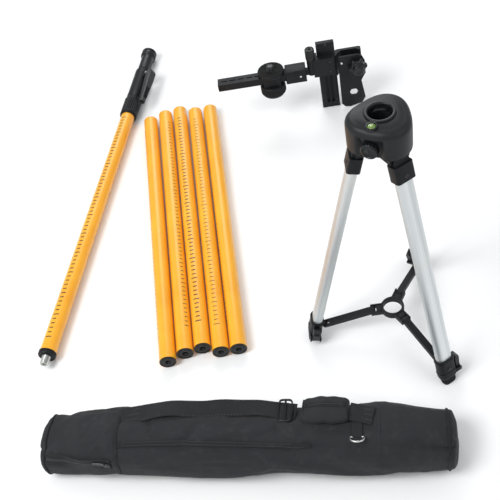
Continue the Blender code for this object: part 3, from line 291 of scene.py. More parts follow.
yellow = {"base": (0.940, 0.440, 0.018), "deep": (0.880, 0.370, 0.010), "pale": (0.980, 0.520, 0.035),
          "scuff": (0.72, 0.42, 0.12), "rough": (0.30, 0.44)}


def paint(name, v, matrix):  # satin paint with orange peel, lengthwise drifts and a few faint scuffs
    made, tree, where = newLook(name, matrix)
    grain = pattern(tree, grainGroup, where, Pits=900.0, Drift=11.0)
    drawn = pattern(tree, drawnGroup, where, Across=420.0)
    colour = blend(tree, spread(tree, grain["Tone"], 0.35, 0.65), v["deep"], v["base"])
    colour = blend(tree, spread(tree, drawn["Streak"], 0.45, 0.75, 0.0, 0.55), colour, v["pale"])
    scuffed = calc(tree, "MULTIPLY", grain["Dust"], spread(tree, drawn["Height"], 0.55, 0.70, 0.0, 0.35))
    return finished(made, "yellow_tube", blend(tree, scuffed, colour, v["scuff"]),
                    spread(tree, grain["Tone"], 0.3, 0.7, *v["rough"]), (grain["Height"], 0.06, 0.0002),
                    Coat_Weight=0.25, Coat_Roughness=0.22)


metals = {
    "drawnAluminium": {"light": (0.86, 0.88, 0.89), "dark": (0.58, 0.62, 0.63), "tint": (0.72, 0.69, 0.60),
                       "rough": (0.42, 0.60), "across": 700.0, "bump": 0.22, "slot": "aluminium"},
    "zincPlate": {"light": (0.66, 0.67, 0.65), "dark": (0.42, 0.42, 0.40), "tint": (0.62, 0.58, 0.44),
                  "rough": (0.24, 0.42), "across": 1500.0, "bump": 0.10, "slot": "zinc"},
    "blackOxide": {"light": (0.085, 0.085, 0.088), "dark": (0.040, 0.040, 0.042), "tint": (0.11, 0.10, 0.09),
                   "rough": (0.30, 0.46), "across": 1800.0, "bump": 0.06, "slot": "zinc"},
    "nickelPlate": {"light": (0.74, 0.74, 0.73), "dark": (0.55, 0.55, 0.54), "tint": (0.66, 0.64, 0.58),
                    "rough": (0.14, 0.26), "across": 2200.0, "bump": 0.05, "slot": "zinc"},
}


def metal(name, v, matrix=None):
    made, tree, where = newLook(name, matrix)
    drawn = pattern(tree, drawnGroup, where, Across=v["across"])
    colour = blend(tree, spread(tree, drawn["Streak"], 0.32, 0.66), v["dark"], v["light"])
    colour = blend(tree, spread(tree, drawn["Patch"], 0.52, 0.75, 0.0, 0.5), colour, v["tint"])
    return finished(made, v["slot"], colour, spread(tree, drawn["Height"], 0.3, 0.7, *v["rough"]),
                    (drawn["Height"], v["bump"], 0.0001), Metallic=1.0)


# woven goods: dark and light thread, width of a thread pair and depth of the weave
cloths = {
    "bagCloth": ((0.0165, 0.0172, 0.0192), (0.0330, 0.0345, 0.0380), 0.0016, 0.5),
    "webbing": ((0.012, 0.0125, 0.014), (0.030, 0.031, 0.033), 0.0030, 0.8),
    "piping": ((0.011, 0.012, 0.0135), (0.026, 0.027, 0.029), 0.0014, 0.5),
    "thread": ((0.040, 0.041, 0.044), (0.075, 0.076, 0.080), 0.0008, 0.3),
}


def cloth(name, dark, light, pair, bump):  # weave height, worn high spots and slow fading
    made, tree, where = newLook(name, bagFrame)
    weave = pattern(tree, weaveGroup, where, Threads=tau / pair)
    grain = pattern(tree, grainGroup, where, Pits=700.0, Drift=16.0)
    colour = blend(tree, spread(tree, weave["Over"], 0.25, 0.75), dark, light)
    colour = blend(tree, spread(tree, grain["Tone"], 0.35, 0.7, 0.0, 0.45), colour, light)
    lint = blend(tree, calc(tree, "MULTIPLY", grain["Dust"], 0.07), colour, (0.20, 0.20, 0.20))
    return finished(made, "webbing", lint, spread(tree, grain["Tone"], 0.3, 0.7, 0.72, 0.82),
                    (weave["Height"], bump, 0.0004), Specular_IOR_Level=0.14, Sheen_Weight=0.05,
                    Sheen_Roughness=0.45)


def ink():  # printed scale, slightly worn through
    made, tree, where = newLook("printedInk")
    grain = pattern(tree, grainGroup, where, Pits=1800.0, Drift=60.0)
    worn = blend(tree, calc(tree, "MULTIPLY", grain["Dust"], 0.35), (0.045, 0.036, 0.022), (0.60, 0.30, 0.04))
    return finished(made, "black_plastic", worn, spread(tree, grain["Tone"], 0.3, 0.7, 0.40, 0.55))


def fluid():  # green-yellow fluid of the vial
    made, tree, where = newLook("vialFluid")
    grain = pattern(tree, grainGroup, where, Pits=600.0, Drift=90.0)
    tone = spread(tree, grain["Tone"], 0.35, 0.65)
    return finished(made, "vial", blend(tree, tone, (0.080, 0.160, 0.022), (0.160, 0.280, 0.045)),
                    spread(tree, grain["Height"], 0.3, 0.7, 0.05, 0.09), Coat_Weight=0.8)


def film():  # the bubble, paler than the fluid
    made, tree, where = newLook("bubbleFilm")
    grain = pattern(tree, grainGroup, where, Pits=500.0, Drift=140.0)
    return finished(made, "vial", blend(tree, grain["Tone"], (0.30, 0.42, 0.12), (0.42, 0.55, 0.20)),
                    spread(tree, grain["Height"], 0.3, 0.7, 0.03, 0.07), Coat_Weight=1.0)


finish = {name: plastic(name, values) for name, values in plastics.items()}
finish.update({name: metal(name, metals[name]) for name in ("zincPlate", "nickelPlate", "blackOxide")})
finish.update({name: cloth(name, *values) for name, values in cloths.items()})
finish.update(printedInk=ink(), vialFluid=fluid(), bubbleFilm=film())
print("materials made")


# ---- shape helpers
def moved(points, matrix):  # an array of points taken through a 4x4 matrix
    m = np.array(matrix)
    return np.asarray(points, float) @ m[:3, :3].T + m[:3, 3]


def unit(vectors):
    return vectors / np.linalg.norm(vectors, axis=-1, keepdims=True)


def rounded(wave, power):  # a sine or cosine pressed towards a square with round corners
    return np.sign(wave) * np.abs(wave) ** power


def around(count):
    return np.arange(count) * tau / count


def cleaned(mesh, merge=0.0, flatten=False):  # joins doubled points and flat faces, and turns normals outward
    shell = bmesh.new()
    shell.from_mesh(mesh)
    if merge:
        bmesh.ops.remove_doubles(shell, verts=shell.verts, dist=merge)
    if flatten:
        bmesh.ops.dissolve_limit(shell, angle_limit=math.radians(1.5), verts=shell.verts, edges=shell.edges)
    bmesh.ops.recalc_face_normals(shell, faces=shell.faces)
    shell.to_mesh(mesh)
    shell.free()
    return mesh


def newMesh(name, shape, merge=0.0):
    verts, faces = shape
    mesh = bpy.data.meshes.new(name)
    mesh.from_pydata(np.asarray(verts).reshape(-1, 3).tolist(), [], faces)
    return cleaned(mesh, merge)


def addMesh(name, shape, look, body, nodes=(), **dressing):
    return dress(name, newMesh(name, shape, 1e-6), look, body, nodes, **dressing)


def dress(name, mesh, look, body, nodes=(), edge=0.0, smooth=34.0, slot=None):
    piece = bpy.data.objects.new(name, mesh)
    bpy.context.scene.collection.objects.link(piece)
    mesh.materials.clear()
    mesh.materials.append(look[0])
    mesh.shade_smooth()
    mesh.set_sharp_from_angle(angle=math.radians(smooth))
    if edge:
        bevel = piece.modifiers.new("edges", "BEVEL")
        bevel.width, bevel.segments = edge, 2
        bevel.limit_method, bevel.angle_limit = "ANGLE", math.radians(smooth)
        bevel.harden_normals = True
    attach(piece, body)
    if nodes:
        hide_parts(*nodes)
    return piece


def gridFaces(rows, columns, closed=False, start=0):  # quads between rings, ends capped unless closed
    r = np.arange(rows if closed else rows - 1)[:, None]
    c = np.arange(columns)[None, :]
    after, n = (c + 1) % columns, (r + 1) % rows
    quads = np.stack([r * columns + c, r * columns + after, n * columns + after, n * columns + c], -1)
    faces = (quads.reshape(-1, 4) + start).tolist()
    if not closed:
        faces.append((np.arange(columns)[::-1] + start).tolist())
        faces.append((np.arange(columns) + (rows - 1) * columns + start).tolist())
    return faces


def many(grids, closed=False):  # several ring grids joined into one list of verts and faces
    verts, faces, start = [], [], 0
    for grid in grids:
        rows, columns = grid.shape[:2]
        faces += gridFaces(rows, columns, closed, start)
        verts.append(grid.reshape(-1, 3))
        start += rows * columns
    return np.concatenate(verts), faces


def lathe(profile, count, matrix, ripple=None):
    # each (radius, z) of the profile goes round Z; ripple(angle, radius, z) is added to the radius
    profile = np.array(profile, float)
    angle = around(count)
    radius = np.repeat(profile[:, :1], count, 1)
    z = np.repeat(profile[:, 1:], count, 1)
    if ripple is not None:
        radius = radius + ripple(angle[None, :], radius, z)
    return moved(np.stack([radius * np.cos(angle), radius * np.sin(angle), z], -1), matrix)


def solid(profile, count, matrix, ripple=None):  # a turned shape whose profile starts and ends on the axis
    return many([lathe(profile, count, matrix, ripple)])


def hollow(profile, count, matrix, ripple=None):  # a turned shape whose profile is a loop off the axis
    return many([lathe(profile, count, matrix, ripple)], True)


def ovalRing(width, depth, corner, count=48):
    # points round a rectangle with round corners, depth along X and width along Y
    angle = around(count)
    ray = np.stack([np.cos(angle), np.sin(angle)], -1)
    inner = np.array([depth / 2 - corner, width / 2 - corner])
    return np.sign(ray) * np.minimum(np.abs(ray) * 9.0, inner) + ray * corner


def stacked(rows):  # flat rings of points, each at its own height
    return np.stack([np.concatenate([ring, np.full((len(ring), 1), z)], 1) for ring, z in rows])


def ringAlong(path, out, up, radius, sides):  # a round section along a path, in the plane of out and up
    angle = around(sides)[None, :, None]
    out, up = [np.broadcast_to(np.asarray(way, float), path.shape)[:, None] for way in (out, up)]
    return path[:, None] + radius * (out * np.cos(angle) + up * np.sin(angle))


def along(spot, axis):  # frame at a spot with its Z along an axis
    turn = Vector((0, 0, 1)).rotation_difference(Vector(axis)).to_matrix().to_4x4()
    return Matrix.Translation(Vector(spot)) @ turn


def discs(spots, profile, count=20):  # the same small turned shape at several (spot, axis) pairs
    return many([lathe(profile, count, along(spot, axis)) for spot, axis in spots])


def blocks(frames, size):  # the same small box at several frames
    half = np.array(size, float) / 2
    ring = np.array([[-1, -1], [1, -1], [1, 1], [-1, 1]], float) * half[:2]
    return many([moved(stacked([(ring, -half[2]), (ring, half[2])]), matrix) for matrix in frames])


def soften(node, width, look, smooth=30.0):
    # a merged copy of a moulded CAD piece, with its flat faces joined and its edges rounded
    mesh = cleaned(frame["nodes"][node].data.copy(), 3e-6, True)
    dress(node + "_moulded", mesh, finish[look], bodyOf[node], (node,), edge=width, smooth=smooth)


rivetProfile = ((core, 0.0), (1.0, 0.0), (1.0, 0.12), (0.86, 0.34), (0.5, 0.52), (core, 0.58))


def pinHeads(name, joint, reach, radius, look, body):  # a domed head on both ends of a joint's pin
    spot, pin = jointSpot(joint)
    heads = [(spot + pin * side * reach, pin * side) for side in (-1, 1)]
    profile = [(r * radius, z * radius) for r, z in rivetProfile]
    addMesh(name, discs(heads, profile), finish[look], body, smooth=40)


def cutAway(piece, shape):  # takes a closed shape out of a finished piece
    cutter = bpy.data.objects.new("cutter", newMesh("cutter", shape))
    bpy.context.scene.collection.objects.link(cutter)
    cut = piece.modifiers.new("cut", "BOOLEAN")
    cut.operation, cut.object, cut.solver = "DIFFERENCE", cutter, "EXACT"
    graph = bpy.context.evaluated_depsgraph_get()
    result = bpy.data.meshes.new_from_object(piece.evaluated_get(graph))
    piece.modifiers.remove(cut)
    piece.data = result
    bpy.data.objects.remove(cutter, do_unlink=True)


# ---- tubes with plugs and printed scales
tubes = {
    "radius": 0.0150, "wall": 0.0011, "length": 0.6618, "endWall": 0.003, "sides": 72, "tickHigh": 0.00008,
    "plugBore": 0.0050, "plugDepth": 0.034, "plugWall": 0.006, "rim": 0.0022, "threads": 14, "pitch": 0.0019,
    "tickPitch": 0.010, "tickFrom": 0.050, "tickCount": 58, "longTick": 1.45,
    # for each tube: middle of its scale round the tube, tick length round it and tick width along it
    "scales": ((62, 0.0050, 0.0016), (-38, 0.0060, 0.0016), (4, 0.0078, 0.0024), (2, 0.0075, 0.0015),
               (70, 0.0040, 0.0016)),
}


def tubeShell(v, start, end, wallEnd):
    r, inside = v["radius"], v["radius"] - v["wall"]
    return [(inside, wallEnd), (inside, start), (r - 0.0003, start), (r, start + 0.0003), (r, end - 0.0005),
            (r - 0.0005, end)]


def scaleMarks(v, matrix, middle, start, count, reach, width):
    # flat ticks bent round the tube, every fifth one long; middle is in degrees from the top
    grids = []
    steps = 5
    for k in range(count):
        half = reach / 2 * (v["longTick"] if k % 5 == 0 else 1.0) / v["radius"]
        angle = math.radians(middle) + np.linspace(-half, half, steps)
        z = start + k * v["tickPitch"]
        rows = []
        for lift, way in ((-0.0001, -1), (v["tickHigh"], -1), (v["tickHigh"], 1), (-0.0001, 1)):
            r = v["radius"] + lift
            edge = np.full(steps, z + way * width / 2)
            rows.append(np.stack([-r * np.cos(angle), r * np.sin(angle), edge], -1))
        grids.append(moved(np.transpose(np.stack(rows), (1, 0, 2)), matrix))
    return many(grids)


def plugProfile(v):
    r, bore, rim = v["radius"], v["plugBore"], v["rim"]
    inside = r - v["wall"] - 0.0003
    outer = [(core, v["plugDepth"]), (inside, v["plugDepth"]), (inside, -0.0003), (r, -0.0003),
             (r, -rim + 0.0005), (r - 0.0005, -rim), (r - 0.0026, -rim), (r - 0.0029, -rim + 0.0008),
             (r - 0.0040, -rim + 0.0008), (r - 0.0043, -rim), (bore + 0.0009, -rim), (bore, -rim + 0.0009)]
    thread = []
    for turn in range(v["threads"]):  # inner thread as fine rings
        z = -rim + 0.0012 + turn * v["pitch"]
        thread += [(bore, z), (bore + 0.0006, z + 0.0009)]
    floor = v["plugDepth"] - v["plugWall"]
    return outer + thread + [(bore, floor), (core, floor)]


def makeTubes(v):
    end = v["length"]
    wallEnd = end - v["endWall"]
    shell = [(core, wallEnd)] + tubeShell(v, 0.0, end, wallEnd) + [(core, end)]
    liner = [(core, end - 0.0002), (0.0128, end - 0.0002), (0.0131, end + 0.0003), (0.0138, end + 0.0005),
             (0.0142, end + 0.0002), (0.0142, end + 0.0007), (0.0136, end + 0.0011), (0.0074, end + 0.0011),
             (0.0068, end + 0.0005), (core, end + 0.0005)]
    for number, matrix in enumerate(tubeFrames, 1):
        body = f"tube_{number}"
        coat = paint(f"yellowCoat{number}", yellow, matrix)
        addMesh(f"tube_shell_{number}", solid(shell, v["sides"], matrix), coat, body,
                [f"extension_tube_{number}"])
        addMesh(f"plug_shell_{number}", solid(plugProfile(v), 40, matrix), finish["satinBlack"], body,
                [f"socket_plug_{number}"], smooth=40)
        addMesh(f"far_liner_{number}", solid(liner, 40, matrix), finish["satinBlack"], body, smooth=40)
        middle, reach, width = v["scales"][number - 1]
        marks = scaleMarks(v, matrix, middle, v["tickFrom"], v["tickCount"], reach, width)
        addMesh(f"tube_scale_{number}", marks, finish["printedInk"], body, smooth=60)


makeTubes(tubes)
print("tubes made")


# ---- telescoping pole, stations along its own axis
pole = {
    "ringEnd": 0.008, "tubeEnd": 0.664, "collar": (0.650, 0.708), "ribs": 26, "capStart": 0.8145,
    "shoulder": 0.8685, "end": 0.8875, "mastRadius": 0.0125, "mastStart": 0.3945, "mastWall": 0.0012,
    "sides": 72, "tickFrom": 0.034, "tickCount": 61, "bands": (0.7145, 0.7185, 0.7985),
    "studRadius": 0.0077, "studPitch": 0.0016, "leverRibs": 7, "ribFrom": 0.060, "ribPitch": 0.0052,
    "ribRise": 0.018288, "capRings": 7,
}


def makePoleFoot(v, tube):
    r = tube["radius"]
    shell = tubeShell(tube, v["ringEnd"] + 0.0003, v["tubeEnd"], v["tubeEnd"])
    addMesh("pole_shell", hollow(shell, v["sides"], poleFrame), paint("yellowCoatPole", yellow, poleFrame),
            "pole", ["pole_tube"])
    marks = scaleMarks(tube, poleFrame, 8, v["tickFrom"], v["tickCount"], 0.0080, 0.0024)
    addMesh("pole_scale", marks, finish["printedInk"], "pole", smooth=60)
    # end ring with two fine grooves and a chamfer towards the foot
    ring = [(r - 0.0014, 0.038), (r - 0.0014, 0.008), (r + 0.0013, 0.008), (r + 0.0013, 0.0060),
            (r + 0.0007, 0.0056), (r + 0.0007, 0.0048), (r + 0.0013, 0.0044), (r + 0.0013, 0.0014),
            (r + 0.0003, 0.0), (0.0118, 0.0), (0.0112, 0.0006), (0.0096, 0.0006), (0.0092, 0.0),
            (0.0080, 0.0), (0.0080, 0.038)]
    addMesh("end_ring_shell", hollow(ring, 56, poleFrame), finish["blackMoulding"], "pole", ["pole_end_ring"],
            smooth=40)
    # zinc stud: fine thread outside, chamfer, shallow cup in its end
    wide = v["studRadius"]
    stud = [(core, 0.028), (wide, 0.028), (wide, -0.0008)]
    for turn in range(9):
        z = -0.0012 - turn * v["studPitch"]
        stud += [(wide, z), (wide - 0.0006, z - 0.0008)]
    stud += [(wide, -0.0158), (0.0067, -0.0170), (0.0046, -0.0170), (0.0040, -0.0163), (0.0040, -0.0136),
             (core, -0.0128)]
    addMesh("stud_shell", solid(stud, 40, poleFrame), finish["zincPlate"], "pole", ["pole_stud"], smooth=28)


def makeCollar(v, r):  # collar nut: rounded grip ribs between two plain bands
    low, high = v["collar"]
    c = r + 0.0040

    def grip(angle, radius, z):
        inside = (z > low + 0.0065) & (z < high - 0.0075) & (radius > r + 0.002)
        return np.where(inside, 0.0011 * (np.abs(np.sin(angle * v["ribs"] / 2)) - 1.0), 0.0)

    steps = [(c, z) for z in np.linspace(low + 0.0060, high - 0.0070, 12)]
    collar = [(r + 0.0005, high), (r + 0.0005, low), (c - 0.0024, low), (c - 0.0016, low + 0.0008),
              (c - 0.0006, low + 0.0036), (c, low + 0.0042)] + steps
    collar += [(c, high - 0.0052), (c - 0.0008, high - 0.0042), (r + 0.0028, high - 0.0025),
               (r + 0.0020, high)]
    addMesh("collar_shell", hollow(collar, 208, poleFrame, grip), finish["blackMoulding"], "collar",
            ["collar_nut"], smooth=50)


def makeLeverHead(v):
    soften("lever_housing", 0.0006, "blackMoulding")
    bands = [[(0.0168, z), (0.0173, z + 0.0003), (0.0173, z + 0.0013), (0.0168, z + 0.0016)]
             for z in v["bands"]]
    addMesh("housing_bands", many([lathe(band, 56, poleFrame) for band in bands]), finish["satinBlack"],
            "pole", smooth=40)
    soften("pole_lever", 0.0013, "satinBlack")
    pinHeads("pole_pin_heads", "pole_lever_flip", 0.0084, 0.0026, "nickelPlate", "pole")
    spot, pin = jointSpot("pole_lever_flip")
    _, _, axis, foot = axesOf(poleFrame)
    out = np.cross(pin, axis)
    out *= np.sign(np.dot(out, spot - foot))
    frames = []
    for k in range(v["leverRibs"]):  # thumb ribs near the lever's free end
        middle = spot - axis * (v["ribFrom"] + v["ribPitch"] * k) + out * v["ribRise"]
        frames.append(frameFrom(pin, axis, out, middle))
    addMesh("lever_ribs", blocks(frames, (0.0105, 0.0016, 0.0024)), finish["satinBlack"], "pole_lever",
            edge=0.0004)


def makeMast(v):
    m, start, end = v["mastRadius"], v["mastStart"], v["end"]
    inside = m - v["mastWall"]
    mast = [(inside, end - 0.0045), (inside, start), (m - 0.0002, start), (m, start + 0.0002),
            (m, end - 0.0045), (m - 0.0002, end - 0.0042)]
    coat = metal("mastMetal", metals["drawnAluminium"], poleFrame)
    addMesh("mast_shell", hollow(mast, 64, poleFrame), coat, "mast", ["mast_tube"])
    # cap: ribbed sleeve, conical shoulder, flange with a groove, dished end
    seat, sleeve, flange, start, shoulder = m + 0.0003, m + 0.0017, m + 0.0055, v["capStart"], v["shoulder"]
    cap = [(core, end - 0.0040), (seat, end - 0.0040), (seat, start), (sleeve - 0.0004, start),
           (sleeve, start + 0.0006)]
    for k in range(v["capRings"]):
        z = start + 0.010 + k * 0.0048
        cap += [(sleeve, z), (sleeve - 0.0005, z + 0.0004), (sleeve - 0.0005, z + 0.0014),
                (sleeve, z + 0.0018)]
    cap += [(sleeve, shoulder - 0.005), (sleeve + 0.0014, shoulder), (m + 0.0049, shoulder + 0.0012),
            (flange, shoulder + 0.0024), (flange, end - 0.0092), (m + 0.0042, end - 0.0088),
            (m + 0.0042, end - 0.0062), (flange, end - 0.0058), (flange, end - 0.0012), (m + 0.0045, end),
            (0.0098, end), (0.0090, end - 0.0010), (core, end - 0.0010)]
    addMesh("cap_shell", solid(cap, 72, poleFrame), finish["satinBlack"], "mast", ["mast_cap"], smooth=40)


makePoleFoot(pole, tubes)
makeCollar(pole, tubes["radius"])
makeLeverHead(pole)
makeMast(pole)
print("pole made")


# ---- tripod
tripod = {
    "headTop": 0.480, "headHeight": 0.048, "headRadius": 0.0445, "lobe": 0.0035, "skirtWall": 0.003,
    "shoulder": 0.0105, "dome": 0.0020, "columns": 180, "socket": 0.0164, "bushWall": 0.0034,
    "knobTurn": -60.0, "knobHeight": 0.448, "knobRibs": 18, "recess": 0.0105, "recessReach": 0.0185,
    "brow": 0.0014, "vialAt": 0.0292, "vialRadius": 0.0070,
    "legWidth": 0.027, "legDepth": 0.0165, "legRound": 0.0080, "legWall": 0.0014, "legStart": 0.020,
    "legEnd": 0.402, "innerLess": 0.0055, "innerRound": 0.0050, "innerWall": 0.0013, "innerStart": 0.170,
    "innerEnd": 0.4335, "clampWidth": 0.0315, "clampDepth": 0.0215, "clampRound": 0.0095,
    # for each kind of pin: joint, how far its heads stand from the joint, and their radius
    "pins": (("hinge", "leg_{}_fold", 0.0162, 0.0036), ("arm", "arm_{}_swing", 0.0060, 0.0027),
             ("lock", "lock_{}_flip", 0.0092, 0.0020)),
    # for each kind of moulded leg part: edge radius and plastic
    "mouldings": (("hinge_block", 0.0009, "blackMoulding"), ("foot_clamp", 0.0007, "blackMoulding"),
                  ("lock_lever", 0.0005, "satinBlack"), ("spreader_arm", 0.0006, "blackMoulding"),
                  ("rubber_foot", 0.0012, "rubberBlack")),
    "webAt": 0.0232, "webSize": (0.0086, 0.0116, 0.0088),
}


def headGrid(v):
    # rows run from the inner skirt up over the dome to the bore and back; each is a radius and a height
    top, low = v["headTop"], v["headTop"] - v["headHeight"]
    bore = v["socket"] + v["bushWall"]
    angle = around(v["columns"])
    lobes = v["headRadius"] + v["lobe"] * np.cos(3 * angle)
    rows = [(lobes - v["skirtWall"], low), (lobes, low), (lobes, low + 0.006), (lobes + 0.0002, top - 0.020),
            (lobes, top - 0.0125)]
    for s in np.linspace(0.1, 1.0, 9) * math.pi / 2:  # quarter-round shoulder that runs into a shallow dome
        rows.append((lobes - v["shoulder"] * (1 - math.cos(s)), top - 0.0125 + v["shoulder"] * math.sin(s)))
    start = lobes - v["shoulder"]
    for s in np.linspace(0.15, 1.0, 7):
        rise = v["dome"] * math.sin(s * math.pi / 2)
        rows.append((start + (bore + 0.0026 - start) * s, top - v["dome"] + rise))
    rows += [(bore + 0.0008, top - 0.0002), (bore, top - 0.001), (bore, top - 0.003),
             (lobes - 0.0120, top - 0.0045), (lobes - 0.0060, top - 0.0075),
             (lobes - v["skirtWall"], top - 0.0130)]
    radius = np.stack([np.broadcast_to(row, angle.shape) for row, _ in rows])
    z = np.array([height for _, height in rows])[:, None]
    # knob recess: the skirt is pressed in under a brow, on the side between two legs
    off = (angle - math.radians(v["knobTurn"]) + math.pi) % tau - math.pi
    reach = 1 / (1 + np.exp((np.abs(off) * v["headRadius"] - v["recessReach"]) / 0.0009))
    under = 1 / (1 + np.exp((z - (v["knobHeight"] + 0.0155)) / 0.0008))
    skirt = np.zeros((len(rows), 1))
    skirt[:7] = skirt[-1] = 1.0
    brow = np.exp(-((z - (v["knobHeight"] + 0.0185)) / 0.0022) ** 2) * np.exp(-(off / 0.42) ** 4)
    radius = radius + skirt * (brow * v["brow"] - reach * under * v["recess"])
    return np.stack([radius * np.cos(angle), radius * np.sin(angle), np.broadcast_to(z, radius.shape)], -1)


def makeHead(v):
    top, sock = v["headTop"], v["socket"]
    addMesh("head_shell", many([moved(headGrid(v), tripodFrame)], True), finish["headMoulding"], "head",
            ["head_cover"], smooth=50)
    soften("head_base", 0.0005, "blackMoulding")
    lip = [(sock + 0.0031, 0.422), (sock + 0.0031, top + 0.0003), (sock + 0.0051, top + 0.0003),
           (sock + 0.0053, top + 0.0012), (sock + 0.0047, top + 0.0021), (sock + 0.0036, top + 0.0025),
           (sock + 0.0018, top + 0.0025), (sock + 0.0006, top + 0.0018), (sock, top + 0.0004),
           (sock, top - 0.010), (sock + 0.0006, top - 0.0108), (sock + 0.0006, top - 0.0120),
           (sock, top - 0.0128), (sock, 0.422)]
    bush = addMesh("bush_shell", hollow(lip, 72, tripodFrame), finish["satinBlack"], "head", ["collar_bush"],
                   smooth=50)
    spot, axis = jointSpot("head_knob_turn")
    knobFrame = along(spot, -axis)
    window = [(core, 0.010), (0.0058, 0.010), (0.0058, 0.030), (core, 0.030)]  # the pad passes through it
    cutAway(bush, solid(window, 40, knobFrame))
    makeVial(v)
    makeHeadKnob(v, knobFrame)


def makeVial(v):
    turn = Matrix.Rotation(math.radians(v["knobTurn"]), 4, "Z")
    vialFrame = tripodFrame @ turn @ Matrix.Translation((v["vialAt"], 0, v["headTop"]))
    bubbleFrame = vialFrame @ Matrix.Translation((0.0004, -0.0003, 0.0))
    q = v["vialRadius"]
    bezel = [(q - 0.0012, -0.004), (q + 0.0012, -0.004), (q + 0.0014, 0.0002), (q + 0.0008, 0.0014),
             (q - 0.0004, 0.0016), (q - 0.0012, 0.0008)]
    drop = [(core, -0.0080), (q - 0.0013, -0.0080), (q - 0.0013, 0.0002), (q - 0.0020, 0.0009),
            (q - 0.0036, 0.0013), (core, 0.0015)]
    target = [(0.00235, 0.0012), (0.00235, 0.00152), (0.00275, 0.00150), (0.00275, 0.0012)]
    bubble = [(core, 0.0012), (0.0017, 0.0012), (0.0017, 0.00150), (0.0012, 0.00172), (core, 0.0018)]
    addMesh("vial_bezel", hollow(bezel, 48, vialFrame), finish["satinBlack"], "head", smooth=50)
    addMesh("vial_window", solid(drop, 40, vialFrame), finish["vialFluid"], "head", ["level_vial"], smooth=50)
    addMesh("vial_target", hollow(target, 36, vialFrame), finish["printedInk"], "head")
    addMesh("vial_bubble", solid(bubble, 28, bubbleFrame), finish["bubbleFilm"], "head", smooth=60)


def makeHeadKnob(v, knobFrame):  # scalloped grip, dished face, and the pad that it pushes

    def scallop(angle, radius, z):
        grip = (radius > 0.0115) & (z > 0.0352) & (z < 0.0448)
        return np.where(grip, -0.0009 * (np.cos(v["knobRibs"] * angle) > 0.1), 0.0)

    knob = [(core, 0.0238), (0.0035, 0.0238), (0.0035, 0.0345), (0.0108, 0.0345), (0.0122, 0.0352)]
    knob += [(0.0125, z) for z in np.linspace(0.0358, 0.0440, 5)]
    knob += [(0.0118, 0.0452), (0.0104, 0.0461), (0.0092, 0.0463), (0.0084, 0.0452), (0.0030, 0.0450),
             (0.0024, 0.0456), (core, 0.0458)]
    pad = [(core, 0.0167), (0.0050, 0.0167), (0.0055, 0.0172), (0.0055, 0.0232), (core, 0.0232)]
    addMesh("knob_shell", solid(knob, 144, knobFrame, scallop), finish["satinBlack"], "knob", ["head_knob"],
            smooth=50)
    addMesh("pad_shell", solid(pad, 32, knobFrame), finish["rubberBlack"], "pad", ["clamp_pad"], smooth=50,
            slot="black_plastic")


def ovalTube(name, matrix, size, start, end, coat, body, node):  # size: width, depth, corner and wall
    width, depth, corner, wall = size
    outer = ovalRing(width, depth, corner)
    inner = ovalRing(width - 2 * wall, depth - 2 * wall, corner - wall)
    rows = [(outer, -start - 0.0003), (outer, -start - 0.012), (outer, -end + 0.012), (outer, -end + 0.0004),
            (outer * 0.985, -end), (inner, -end), (inner, -start), (outer * 0.985, -start)]
    addMesh(name, many([moved(stacked(rows), matrix)], True), coat, body, [node], smooth=50)


def makeLeg(v, letter):
    leg = legFrame(letter)
    across, side, up, _ = axesOf(leg)
    body = f"leg_{letter}"
    coat = metal(f"drawnLeg{letter.upper()}", metals["drawnAluminium"], leg)
    for kind, edge, look in v["mouldings"]:
        soften(f"{kind}_{letter}", edge, look)
    less = v["innerLess"]
    outer = (v["legWidth"], v["legDepth"], v["legRound"], v["legWall"])
    inner = (v["legWidth"] - less, v["legDepth"] - less, v["innerRound"], v["innerWall"])
    ovalTube(f"leg_shell_{letter}", leg, outer, v["legStart"], v["legEnd"], coat, body, f"leg_tube_{letter}")
    ovalTube(f"inner_shell_{letter}", leg, inner, v["innerStart"], v["innerEnd"], coat, f"foot_{letter}",
             f"inner_leg_{letter}")
    for kind, joint, reach, radius in v["pins"]:
        owner = "head" if kind == "hinge" else body
        pinHeads(f"{kind}_rivets_{letter}", joint.format(letter), reach, radius, "blackOxide", owner)
    # slotted screws that hold the socket block and the collar on the tube
    screws = [(moved([half - 0.0001, 0.0, -station], leg), across)
              for station, half in ((0.031, 0.01025), (0.4085, 0.01075))]
    head = [(core, 0.0), (0.0030, 0.0), (0.0030, 0.0006), (0.0024, 0.0012), (0.0011, 0.0013),
            (0.0009, 0.0005), (core, 0.0005)]
    addMesh(f"leg_screws_{letter}", discs(screws, head), finish["blackOxide"], body, smooth=40)
    # two raised bands round the collar, and grip ribs on the lever
    bands = []
    for station in (0.3925, 0.4165):
        rows = []
        for out, dz in ((-0.0004, 0.0), (0.0007, 0.0003), (0.0007, 0.0015), (-0.0004, 0.0018)):
            ring = ovalRing(v["clampWidth"] + 2 * out, v["clampDepth"] + 2 * out, v["clampRound"])
            rows.append((ring, -station - dz))
        bands.append(moved(stacked(rows), leg))
    addMesh(f"collar_bands_{letter}", many(bands), finish["satinBlack"], body, smooth=40)
    lever = jointSpot(f"lock_{letter}_flip")[0] + side * 0.0024
    frames = [frameFrom(across, up, side, lever + up * (0.0125 + 0.0030 * k)) for k in range(4)]
    addMesh(f"lever_grip_{letter}", blocks(frames, (0.0095, 0.0011, 0.0016)), finish["satinBlack"],
            f"lock_{letter}", edge=0.0003)


